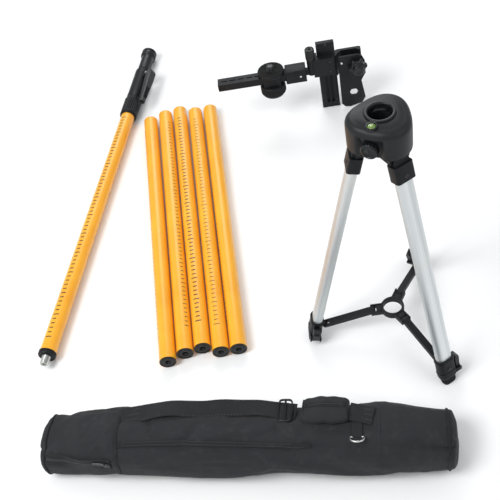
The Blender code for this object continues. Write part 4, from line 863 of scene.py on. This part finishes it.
def makeHub(v):  # the hub, and the webs that close the gaps between its ears, clear of the arms' ends
    soften("spreader_hub", 0.0007, "blackMoulding")
    low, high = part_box("spreader_hub")
    middle = axesOf(tripodFrame)[3]
    middle[2] = (low[2] + high[2]) / 2
    turns = [Matrix.Rotation(math.radians(layout["tripodTurn"] + 120 * index), 4, "Z") for index in range(3)]
    webs = [Matrix.Translation(middle) @ turn @ Matrix.Translation((v["webAt"], 0.0, 0.0)) for turn in turns]
    addMesh("hub_webs", blocks(webs, v["webSize"]), finish["blackMoulding"], "hub", edge=0.0006)


makeHead(tripod)
for letter in "abc":
    makeLeg(tripod, letter)
makeHub(tripod)
print("tripod made")


# ---- clamp bracket
bracket = {
    "wheelRadius": 0.0270, "wheelHeight": 0.026, "knurls": 60, "starRadius": 0.0200, "starLobes": 6,
    "starValley": 0.0135, "ribs": 24, "studHeight": 0.011,
    "edges": (("slide_plate", 0.0), ("pole_hook", 0.0012), ("clamp_plate", 0.0), ("slide_block", 0.0008),
              ("rail_block", 0.0), ("rail", 0.0005), ("platform", 0.0005)),
    # socket screws that face the front: body, plating and places in the bracket's frame
    "screws": (("carriage_screws", "carriage", "blackOxide",
                ((0.006, -0.0284, 0.108), (0.006, -0.0284, 0.132))),
               ("jaw_screw", "jaw", "nickelPlate", ((0.0305, -0.0208, 0.118),)),
               ("plate_screws", "bracket", "blackOxide",
                ((0.0005, -0.0118, 0.1647), (0.0138, -0.0118, 0.020)))),
}


def makePlatform(v, centre, top):  # rubber pad ring with concentric grips, and the stud's thread and cap
    pad = [(0.0092, top - 0.0003), (0.0092, top + 0.0008)]
    for r in np.arange(0.0110, 0.0255, 0.0024):
        pad += [(r, top + 0.0010), (r + 0.0009, top + 0.0010), (r + 0.0011, top + 0.0005),
                (r + 0.0021, top + 0.0005)]
    pad += [(0.0262, top + 0.0009), (0.0267, top - 0.0003)]
    addMesh("platform_pad", hollow(pad, 72, centre), finish["rubberBlack"], "platform", smooth=40)
    thread = [(0.0074, top)]
    for turn in range(6):
        z = top + 0.0008 + turn * 0.00165
        thread += [(0.0079, z), (0.0082, z + 0.0004), (0.0079, z + 0.0009)]
    thread += [(0.0074, top + 0.0108)]
    addMesh("stud_thread", hollow(thread, 56, centre), finish["blackOxide"], "platform", smooth=30)
    cap = [(core, top + 0.0108), (0.0070, top + 0.0108), (0.0070, top + 0.0113), (0.0064, top + 0.0117),
           (0.0024, top + 0.0117), (0.0020, top + 0.0111), (core, top + 0.0111)]
    addMesh("stud_cap", solid(cap, 40, centre), finish["blackOxide"], "platform", smooth=40)


def makeWheel(v, centre, low):  # knurled band, two shoulders, dished underside
    w, high = v["wheelRadius"], low + v["wheelHeight"]

    def knurl(angle, radius, z):
        band = (radius > w - 0.0004) & (z > low + 0.0062) & (z < high - 0.0042)
        return np.where(band, 0.0005 * (np.cos(v["knurls"] * angle) - 1.0), 0.0)

    wheel = [(core, low + 0.003), (0.0088, low + 0.003), (0.0094, low + 0.0004), (0.0120, low),
             (w - 0.006, low), (w - 0.0042, low + 0.0006), (w - 0.0010, low + 0.0052),
             (w - 0.0006, low + 0.0060)]
    wheel += [(w, z) for z in np.linspace(low + 0.0066, high - 0.0048, 6)]
    wheel += [(w - 0.0008, high - 0.0038), (w - 0.0024, high - 0.0004), (w - 0.0034, high), (0.005, high),
              (0.005, high + 0.0087), (core, high + 0.0087)]
    addMesh("wheel_shell", solid(wheel, 240, centre, knurl), finish["blackMoulding"], "wheel",
            ["platform_wheel"], smooth=50)


def makeLockScrew(v):  # ribbed thimble with a hexagonal pocket
    upright = along(jointSpot("lock_screw_turn")[0], (0, 0, 1))

    def ribs(angle, radius, z):
        side = (radius > 0.0094) & (z > 0.0022) & (z < 0.0205)
        return np.where(side, -0.0006 * (np.cos(v["ribs"] * angle) > 0.0), 0.0)

    screw = [(core, -0.024), (0.0035, -0.024), (0.0035, 0.0), (0.0092, 0.0), (0.0098, 0.0008)]
    screw += [(0.0100, z) for z in np.linspace(0.0018, 0.0208, 5)]
    screw += [(0.0099, 0.0225), (0.0092, 0.0238), (0.0082, 0.0240), (0.0074, 0.0232), (0.0040, 0.0232),
              (0.0036, 0.0208), (core, 0.0208)]
    addMesh("lock_screw_shell", solid(screw, 144, upright, ribs), finish["satinBlack"], "lock_screw",
            ["slide_lock_screw"], smooth=50)


def makeStar(v):  # six lobes with rounded valleys, raised hub and a dished cap
    starFrame = along(*jointSpot("star_turn"))
    s = v["starRadius"]

    def lobes(angle, radius, z):
        swing = np.cos(v["starLobes"] * angle)
        depth = np.clip((radius - v["starValley"]) / (s - v["starValley"]), 0.0, 1.0)
        return depth * (0.0024 * (swing - 1.0) - 0.0006 * (1 - swing ** 2))

    star = [(core, -0.044), (0.0035, -0.044), (0.0035, 0.0), (s - 0.0040, 0.0), (s - 0.0012, 0.0006),
            (s, 0.0024), (s, 0.0094), (s - 0.0010, 0.0116), (s - 0.0032, 0.0129), (0.0142, 0.0130),
            (0.0130, 0.0134), (0.0124, 0.0146), (0.0119, 0.0206), (0.0110, 0.0223), (0.0096, 0.0232),
            (0.0070, 0.0234), (0.0060, 0.0228), (core, 0.0226)]
    addMesh("star_shell", solid(star, 150, starFrame, lobes), finish["satinBlack"], "star", ["star_knob"],
            smooth=60)


def makeBracket(v):
    for node, width in v["edges"]:
        soften(node, width, "blackMoulding")
    spot, _ = jointSpot("wheel_turn")
    centre = along(spot, (0, 0, 1)) @ Matrix.Rotation(math.radians(layout["bracketTurn"]), 4, "Z")
    makePlatform(v, centre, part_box("platform")[1][2] - v["studHeight"] - spot[2])
    makeWheel(v, centre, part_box("platform_wheel")[0][2] - spot[2])
    makeLockScrew(v)
    makeStar(v)
    pinHeads("tilt_pin_heads", "rail_tilt", 0.0149, 0.0024, "nickelPlate", "rail_arm")
    socket = [(core, 0.0), (0.0022, 0.0), (0.0024, 0.0008), (0.0020, 0.0013), (0.0011, 0.0013),
              (0.0010, 0.0003), (core, 0.0003)]
    front = -axesOf(bracketFrame)[1]
    for name, body, plating, places in v["screws"]:
        spots = [(moved(place, bracketFrame), front) for place in places]
        addMesh(name, discs(spots, socket), finish[plating], body, smooth=40)
    # nut on the clamp screw's far end, behind the hook
    spot, axis = jointSpot("star_turn")
    nut = [(core, 0.0), (0.0062, 0.0), (0.0066, 0.0006), (0.0066, 0.0034), (0.0062, 0.0040), (core, 0.0040)]
    nutFrame = along(spot - axis * 0.0437, axis)
    addMesh("clamp_nut", solid(nut, 6, nutFrame), finish["zincPlate"], "star", edge=0.0003)


makeBracket(bracket)
print("bracket made")


# ---- carry bag: a slack shell of coated cloth, in its own frame with X along it
bag = {
    "length": 0.655, "endPanels": 0.022, "width": 0.112, "height": 0.088, "slack": 0.0016,
    "stations": 150, "around": 120, "endRows": 9, "lowest": 0.0006,
    "creases": 70, "creaseDepth": 0.0034, "folds": 26, "foldDepth": 0.0028, "sink": 0.0040, "crush": 0.0060,
    "pocketFrom": -0.189, "pocketTo": 0.112, "zipFrom": -0.322, "zipTo": -0.200, "seamX": -0.193,
    "rightSeamX": 0.214, "pipingRadius": 0.0021, "pressure": 1.5, "settleSteps": 20, "settleCap": 0.0035,
}


def bagHalf(v, t):  # half width and half height of the section at t, the same rule as the CAD's plain solid
    ends = np.sin(np.pi * np.clip(t * 0.94 + 0.03, 0.0, 1.0)) ** 0.22
    slack = 1.0 + 0.035 * np.sin(5.2 * np.pi * t + 0.6)
    high = v["height"] / 2 * (0.55 + 0.45 * ends) * (1.0 - 0.05 * np.cos(3.1 * np.pi * t))
    return v["width"] / 2 * (0.62 + 0.38 * ends) * slack - v["slack"], high - v["slack"] / 2


def bell(off, width, power=2):
    return np.exp(-(off / width) ** power)


def bagFolds(v, x, angle):  # how far each point of the cloth stands out of the plain shape
    out = np.zeros_like(x)
    generator = np.random.default_rng(11)
    for _ in range(v["creases"]):  # short and deep near the ends, long and shallow in the middle
        end = generator.random()
        centre = (end ** 0.6 * 0.33) * (1 if generator.random() > 0.5 else -1)
        near = min(1.0, (abs(centre) / 0.33) ** 2 + 0.25)
        middle = generator.uniform(0.3, 3.4)
        deep = generator.uniform(-1.0, 0.75) * v["creaseDepth"] * near
        lean = generator.uniform(-0.05, 0.05)
        ridge = bell(x - centre - lean * (angle - middle), generator.uniform(0.004, 0.013))
        out += deep * ridge * bell(angle - middle, generator.uniform(0.35, 0.9), 4)
    for _ in range(v["folds"]):  # lengthwise folds
        middle, centre = generator.uniform(0.2, 3.3), generator.uniform(-0.26, 0.26)
        off = angle - middle - generator.uniform(-1.2, 1.2) * (x - centre)
        ridge = bell(off, generator.uniform(0.07, 0.16))
        deep = generator.uniform(-1.0, 0.6) * v["foldDepth"]
        out += deep * ridge * bell(x - centre, generator.uniform(0.05, 0.13))
    # the top sinks between the ends, and the left end is crushed
    top = np.clip(np.sin(angle), 0.0, 1.0)
    out -= v["sink"] * top * (0.5 + 0.5 * np.cos(x / v["length"] * tau * 1.5 + 0.4))
    return out - v["crush"] * top * bell(x + 0.285, 0.030)


def bagGrid(v):
    t = np.linspace(0.0, 1.0, v["stations"])
    a = around(v["around"])
    wide, high = [half[:, None] for half in bagHalf(v, t)]
    c, s = np.cos(a)[None, :], np.sin(a)[None, :]
    y = wide * rounded(c, 0.72)
    z = high * (1.0 + rounded(s, 0.76))
    x = np.repeat(((t - 0.5) * (v["length"] - v["endPanels"]))[:, None], v["around"], 1)
    out = bagFolds(v, x, np.repeat(a[None, :], v["stations"], 0)) * np.clip(z / 0.012, 0.0, 1.0)
    rows = np.stack([x, y + out * c, z + out * s], -1)
    # a few more rows close each end's panel, slightly bulged and with a soft edge
    starts, finishes = [], []
    for k in range(1, v["endRows"] + 1):
        share = k / v["endRows"]
        shrink = 1.0 - share ** 1.6 * 0.985
        push = 0.0090 * (1.0 - (1.0 - share) ** 3)
        for target, row, sign in ((starts, rows[0], -1), (finishes, rows[-1], 1)):
            middle = row.mean(0)
            ring = middle + (row - middle) * [1.0, shrink, shrink]
            ring[:, 0] += sign * (push + 0.0016 * np.sin(3 * a + k) * share)
            target.append(ring)
    grid = np.concatenate([np.stack(starts[::-1]), rows, np.stack(finishes)])
    grid[..., 2] = np.maximum(grid[..., 2], v["lowest"])
    return grid


def settle(piece, v):
    # air pressure fills the cloth and tightens it between its creases; settleCap limits each point's way
    start = np.array([vertex.co for vertex in piece.data.vertices])
    step = piece.modifiers.new("cloth", "CLOTH")
    settings = {"quality": 5, "mass": 0.25, "tension_stiffness": 9.0, "compression_stiffness": 9.0,
                "shear_stiffness": 5.0, "bending_stiffness": 0.6, "use_pressure": True,
                "uniform_pressure_force": v["pressure"], "shrink_min": -0.035}
    for name, value in settings.items():
        setattr(step.settings, name, value)
    step.settings.effector_weights.gravity = 0.0
    step.point_cache.frame_start, step.point_cache.frame_end = 1, v["settleSteps"]
    scene = bpy.context.scene
    for number in range(1, v["settleSteps"] + 1):
        scene.frame_set(number)
    graph = bpy.context.evaluated_depsgraph_get()
    puffed = np.array([vertex.co for vertex in piece.evaluated_get(graph).data.vertices])
    piece.modifiers.remove(step)
    scene.frame_set(1)
    shift = puffed - start
    far = np.linalg.norm(shift, axis=1, keepdims=True)
    ended = start + shift * np.minimum(1.0, v["settleCap"] / np.maximum(far, 1e-9))
    ended[:, 2] = np.maximum(ended[:, 2], v["lowest"])
    piece.data.vertices.foreach_set("co", ended.ravel())
    piece.data.update()


def makeBagBody(v):
    mesh = newMesh("bag_shell", many([moved(bagGrid(v), bagFrame)]))
    piece = dress("bag_shell", mesh, finish["bagCloth"], "bag", ["bag_body"], smooth=80, slot="bag_cloth")
    settle(piece, v)
    print("bag cloth settled")
    smoothing = piece.modifiers.new("rounding", "SUBSURF")
    smoothing.levels = smoothing.render_levels = 1
    return BVHTree.FromPolygons([vertex.co[:] for vertex in mesh.vertices],
                                [polygon.vertices[:] for polygon in mesh.polygons])


bagTree = makeBagBody(bag)
bagAhead, bagSide, _, _ = axesOf(bagFrame)


def onBag(v, x, degrees, lift):  # a point of the cloth at a station and an angle, lifted along its normal
    _, high = bagHalf(v, np.array(x / v["length"] + 0.5))
    angle = math.radians(degrees)
    origin = bagFrame @ Vector((x, 0.0, float(high)))
    ray = bagFrame.to_3x3() @ Vector((0.0, math.cos(angle), math.sin(angle)))
    spot, normal, _, _ = bagTree.ray_cast(origin + ray * 0.2, -ray)
    if normal.dot(ray) < 0:
        normal = -normal
    return np.array(spot + normal * lift), np.array(normal)


def overBag(xs, ys):  # the points of the cloth straight below places in the bag's frame
    spots = [bagTree.ray_cast(bagFrame @ Vector((x, y, 0.3)), Vector((0, 0, -1)))[0] for x, y in zip(xs, ys)]
    return np.array([list(spot) for spot in spots])


def smoothed(points, times):
    points = np.array(points, float)
    for _ in range(times):
        points[1:-1] = (points[:-2] + 2 * points[1:-1] + points[2:]) / 4
    return points


def bagLine(v, xs, degrees, lift):
    pairs = [onBag(v, x, d, lift) for x, d in zip(xs, degrees)]
    return smoothed([p[0] for p in pairs], 2), smoothed([p[1] for p in pairs], 4)


def clothStrip(name, line, width, thick, look, nodes=(), sides=16):
    # a flat band with round edges, carried along a line's spots with its flat side along the line's normals
    spots, normals = line
    ahead = unit(np.gradient(spots, axis=0))
    side = unit(np.cross(ahead, np.broadcast_to(normals, spots.shape)))
    top = np.cross(side, ahead)
    angle = around(sides)[None, :, None]
    wide, high = [np.broadcast_to(size, len(spots))[:, None, None] / 2 for size in (width, thick)]
    grid = spots[:, None] + side[:, None] * rounded(np.cos(angle), 0.35) * wide
    grid = grid + top[:, None] * rounded(np.sin(angle), 0.7) * high
    return addMesh(name, many([grid]), finish[look], "bag", nodes, smooth=70, slot="webbing")


def stitches(name, line, pitch=0.0042, size=(0.0026, 0.0007, 0.0005)):
    spots, normals = line[0], np.broadcast_to(line[1], line[0].shape)
    run = np.concatenate([[0.0], np.cumsum(np.linalg.norm(np.diff(spots, axis=0), axis=1))])

    def between(values, where):
        return Vector([np.interp(where, run, values[:, i]) for i in range(3)])

    frames = []
    for where in np.arange(pitch, run[-1] - pitch / 2, pitch):
        spot = between(spots, where)
        ahead = (between(spots, where + 0.001) - spot).normalized()
        side = between(normals, where).normalized().cross(ahead).normalized()
        frames.append(frameFrom(ahead, side, ahead.cross(side), spot))
    addMesh(name, blocks(frames, size), finish["thread"], "bag", smooth=20)


def makePiping(v):  # round both end panels
    half = v["length"] / 2 - v["endPanels"] / 2 - 0.0015
    degrees = np.arange(0, 360, 6.0)
    for name, x in (("left", -half), ("right", half)):
        ring = [onBag(v, x, d, 0.0006)[0] for d in np.concatenate([degrees, degrees[:2]])]
        ring = smoothed(ring, 2)[:len(degrees)]
        ahead = unit(np.roll(ring, -1, 0) - np.roll(ring, 1, 0))
        side = ring - ring.mean(0)
        side = unit(side - ahead * (side * ahead).sum(1, keepdims=True))
        grid = ringAlong(ring, side, np.cross(side, ahead), v["pipingRadius"], 10)
        grid[..., 2] = np.maximum(grid[..., 2], 0.0004)
        addMesh(f"end_piping_{name}", many([grid], True), finish["piping"], "bag", smooth=80)


def makeSeams(v):
    # pocket's top hem with a double row of stitches
    xs = np.linspace(v["pocketFrom"], v["pocketTo"], 60)
    hem = 128 + 3 * np.sin(xs * 14)
    clothStrip("pocket_hem", bagLine(v, xs, hem, 0.0008), 0.0100, 0.0022, "piping")
    for name, shift in (("upper", -2.6), ("lower", 2.6)):
        stitches(f"hem_stitches_{name}", bagLine(v, xs[1:-1], (hem + shift)[1:-1], 0.0021))
    # upright seams at the pocket's left end and, flatter, near the bag's right end
    degrees = np.linspace(60, 186, 36)
    left = bagLine(v, np.full(36, v["seamX"]) + 0.002 * np.sin(degrees / 20), degrees, 0.0005)
    clothStrip("upright_seam", left, 0.0070, 0.0020, "piping")
    right = bagLine(v, np.full(36, v["rightSeamX"]), degrees, 0.0001)
    clothStrip("right_seam", right, 0.0045, 0.0012, "bagCloth")


def makeZip(v):  # along the top towards the front: tape and teeth, slider and pull
    xs = np.linspace(v["zipFrom"] + 0.012, v["zipTo"], 40)
    degrees = np.linspace(150, 160, 40)
    clothStrip("zip_tape", bagLine(v, xs, degrees, 0.0007), 0.0190, 0.0016, "webbing")
    stitches("zip_teeth", bagLine(v, xs, degrees, 0.0019), 0.0021, (0.0012, 0.0040, 0.0012))
    spot, normal = onBag(v, v["zipTo"] - 0.006, 159, 0.0032)
    up = Vector(normal).normalized()
    side = up.cross(Vector(bagAhead)).normalized()
    sliderFrame = frameFrom(side.cross(up), side, up, spot)
    sliderRings = ((0.0062, 0.0090, -0.0016), (0.0080, 0.0108, -0.0010), (0.0080, 0.0108, 0.0008),
                   (0.0060, 0.0086, 0.0016))
    pullRings = ((0.0048, 0.0200, 0.0012), (0.0056, 0.0210, 0.0018), (0.0056, 0.0210, 0.0026),
                 (0.0048, 0.0200, 0.0032))
    slider = [(ovalRing(wide, deep, 0.0022, 24), z) for wide, deep, z in sliderRings]
    pull = [(ovalRing(wide, deep, 0.0020, 24) + [-0.013, 0.003], z) for wide, deep, z in pullRings]
    for name, rows in (("zip_slider", slider), ("zip_pull", pull)):
        addMesh(name, many([moved(stacked(rows), sliderFrame)]), finish["blackOxide"], "bag", smooth=40)


strap = {
    "width": 0.0300, "thick": 0.0026, "boxRows": (-0.009, 0.0, 0.009), "boxStitch": (0.0022, 0.0009, 0.0006),
    # the carrying strap rises and falls along the top: place in the bag's frame and clearance over the cloth
    "route": ((-0.190, 0.020, 0.0016), (-0.176, 0.022, 0.0020), (-0.150, 0.027, 0.0045),
              (-0.110, 0.032, 0.0085), (-0.060, 0.029, 0.0050), (-0.020, 0.032, 0.0075),
              (0.030, 0.034, 0.0105), (0.062, 0.030, 0.0060), (0.088, 0.026, 0.0036)),
    "wrapFrom": (0.098, 0.026), "wrapTo": (0.170, 0.020), "wrapWidth": 0.0440, "wrapThick": 0.0138,
    "endFrom": 0.1705, "endTo": 0.206, "ringX": 0.182,
}


def makeLongStrap(v):
    route = np.array(v["route"])
    x = np.linspace(route[0, 0], route[-1, 0], 70)
    y, gap = [np.interp(x, route[:, 0], route[:, column]) for column in (1, 2)]
    spots = overBag(x, y)
    spots[:, 2] = np.maximum(spots[:, 2], smoothed(spots[:, 2], 12)) + gap
    spots = smoothed(spots, 6)
    normals = upward + bagSide * (0.16 * np.sin(x * 40))[:, None]
    clothStrip("strap_long", (spots, normals), v["width"], v["thick"], "webbing", ["bag_strap"])
    for name, shift in (("near", -0.0122), ("far", 0.0122)):
        stitches(f"strap_edge_{name}", (spots + bagSide * shift + upward * 0.0014, normals), 0.005)
    for k, shift in enumerate(v["boxRows"]):  # box stitch at the anchor
        line = spots[2:9] + bagSide * shift + upward * 0.0016
        stitches(f"anchor_stitch_{k}", (line, normals[2:9]), 0.0030, v["boxStitch"])
    return spots


def makeWrap(v):  # padded handle wrap: a soft sleeve, fuller in its middle, with a flap seam and bound edges
    count = 30
    (fromX, fromY), (toX, toY) = v["wrapFrom"], v["wrapTo"]
    low = overBag(np.linspace(fromX, toX, count), np.linspace(fromY, toY, count))
    low[:, 2] = smoothed(low[:, 2], 10) + 0.0085
    share = np.linspace(0, 1, count)
    full = 1.0 - 0.30 * np.abs(2 * share - 1) ** 6
    wave = 1.0 + 0.03 * np.sin(share * 21)
    pad = clothStrip("handle_wrap", (low, upward), v["wrapWidth"] * full * wave, v["wrapThick"] * full,
                     "bagCloth", ["strap_pad"], 40)
    seam = low + bagSide * 0.0060 + upward * 0.0069
    clothStrip("wrap_flap", (seam[2:-2], upward), 0.0090, 0.0014, "piping")
    stitches("wrap_stitches", (seam[3:-3] + upward * 0.0009, upward))
    angle = around(32)[:, None]
    for name, index in (("left", 1), ("right", -2)):
        wide, high = 0.0218 * full[index], 0.0066 * full[index]
        out = bagSide * wide * rounded(np.cos(angle), 0.35) + upward * high * rounded(np.sin(angle), 0.7)
        ring = low[index] + out
        grid = ringAlong(ring, unit(ring - ring.mean(0)), bagAhead, 0.0012, 8)
        addMesh(f"wrap_binding_{name}", many([grid], True), finish["piping"], "bag", smooth=80)


def makeStrapEnd(v):  # the strap's right end, down to its anchor
    x = np.linspace(v["endFrom"], v["endTo"], 20)
    end = overBag(x, 0.019 - (x - 0.17) * 0.2)
    end[:, 2] = smoothed(end[:, 2], 8) + np.linspace(0.0075, 0.0018, 20)
    clothStrip("strap_short", (end, upward), v["width"], v["thick"], "webbing", ["strap_end"])
    for k, shift in enumerate(v["boxRows"]):
        line = end[11:] + bagSide * shift + upward * 0.0016
        stitches(f"end_stitch_{k}", (line, upward), 0.0030, v["boxStitch"])


def makeStrapSlider(spot):  # buckle where the strap enters the wrap: a rounded loop with a bar across
    slider = Matrix.Translation(Vector(spot)) @ bagFrame.to_3x3().to_4x4()
    c, s = rounded(np.cos(around(64)), 0.4), rounded(np.sin(around(64)), 0.4)
    path = np.stack([0.0105 * c, 0.0185 * s, np.zeros(64)], -1)
    loop = many([ringAlong(path, unit(path), upward, 0.0018, 10)], True)
    path = np.stack([np.zeros(8), np.linspace(-0.0185, 0.0185, 8), np.full(8, 0.0002)], -1)
    bar = many([ringAlong(path, [1, 0, 0], upward, 0.0017, 10)])
    verts = np.concatenate([loop[0], bar[0]])
    faces = loop[1] + [[index + len(loop[0]) for index in face] for face in bar[1]]
    addMesh("strap_slider", (moved(verts, slider), faces), finish["satinBlack"], "bag", smooth=60)


def makeRing(v, ringX):  # D-ring and its tab beside the right anchor
    spot = onBag(v, ringX, 118, 0.0030)[0]
    tilt = Matrix.Rotation(math.radians(-32), 4, "X")
    ringFrame = Matrix.Translation(Vector(spot)) @ bagFrame.to_3x3().to_4x4() @ tilt
    c, s = np.cos(around(48)), np.sin(around(48))
    path = 0.0110 * np.stack([c, s * np.where(s > 0, 0.35, 1.0), np.zeros(48)], -1)
    grid = moved(ringAlong(path, unit(path), upward, 0.0013, 10), ringFrame)
    addMesh("d_ring", many([grid], True), finish["nickelPlate"], "bag", smooth=60)
    tab = bagLine(v, np.full(12, ringX), np.linspace(84, 116, 12), 0.0016)
    clothStrip("d_ring_tab", tab, 0.0160, 0.0022, "webbing")


makePiping(bag)
makeSeams(bag)
makeZip(bag)
strapSpots = makeLongStrap(strap)
makeWrap(strap)
makeStrapEnd(strap)
makeStrapSlider(strapSpots[-5] + upward * 0.0022)
makeRing(bag, strap["ringX"])
print("bag made")


# ---- floor and light
stage = {
    "size": 6.0, "floor": (0.92, 0.92, 0.92), "air": (0.96, 0.98, 1.0), "world": 0.58,
    # for each lamp: place, the point it faces, size and power
    "lamps": {"key": ((-1.3, -0.9, 2.2), (0, 0, 0), 1.3, 44.0),
              "fill": ((1.7, -1.2, 1.6), (0, 0, 0.1), 1.8, 9.0),
              "back": ((0.3, 2.2, 1.9), (0, 0, 0.1), 1.4, 24.0)},
}


def makeStage(v):
    half, low = v["size"] / 2, -0.0003
    mesh = bpy.data.meshes.new("floor")
    corners = [(-half, -half, low), (half, -half, low), (half, half, low), (-half, half, low)]
    mesh.from_pydata(corners, [], [(0, 1, 2, 3)])
    floor = bpy.data.objects.new("floor", mesh)
    made, _, _ = newLook("paleFloor")
    mesh.materials.append(finished(made, "floor", v["floor"], 0.75, Specular_IOR_Level=0.2)[0])
    bpy.context.scene.collection.objects.link(floor)
    world = bpy.data.worlds.new("studio")
    world.use_nodes = True
    air = world.node_tree.nodes["Background"].inputs
    air["Color"].default_value = (*v["air"], 1.0)
    air["Strength"].default_value = v["world"]
    bpy.context.scene.world = world
    for name, (at, aim, size, power) in v["lamps"].items():
        data = bpy.data.lights.new(name, "AREA")
        data.size, data.energy = size, power
        lamp = bpy.data.objects.new(name, data)
        facing = (Vector(aim) - Vector(at)).to_track_quat("-Z", "Y").to_matrix().to_4x4()
        lamp.matrix_world = Matrix.Translation(at) @ facing
        bpy.context.scene.collection.objects.link(lamp)


makeStage(stage)
bpy.context.scene.view_settings.view_transform = "Standard"
print("stage made")
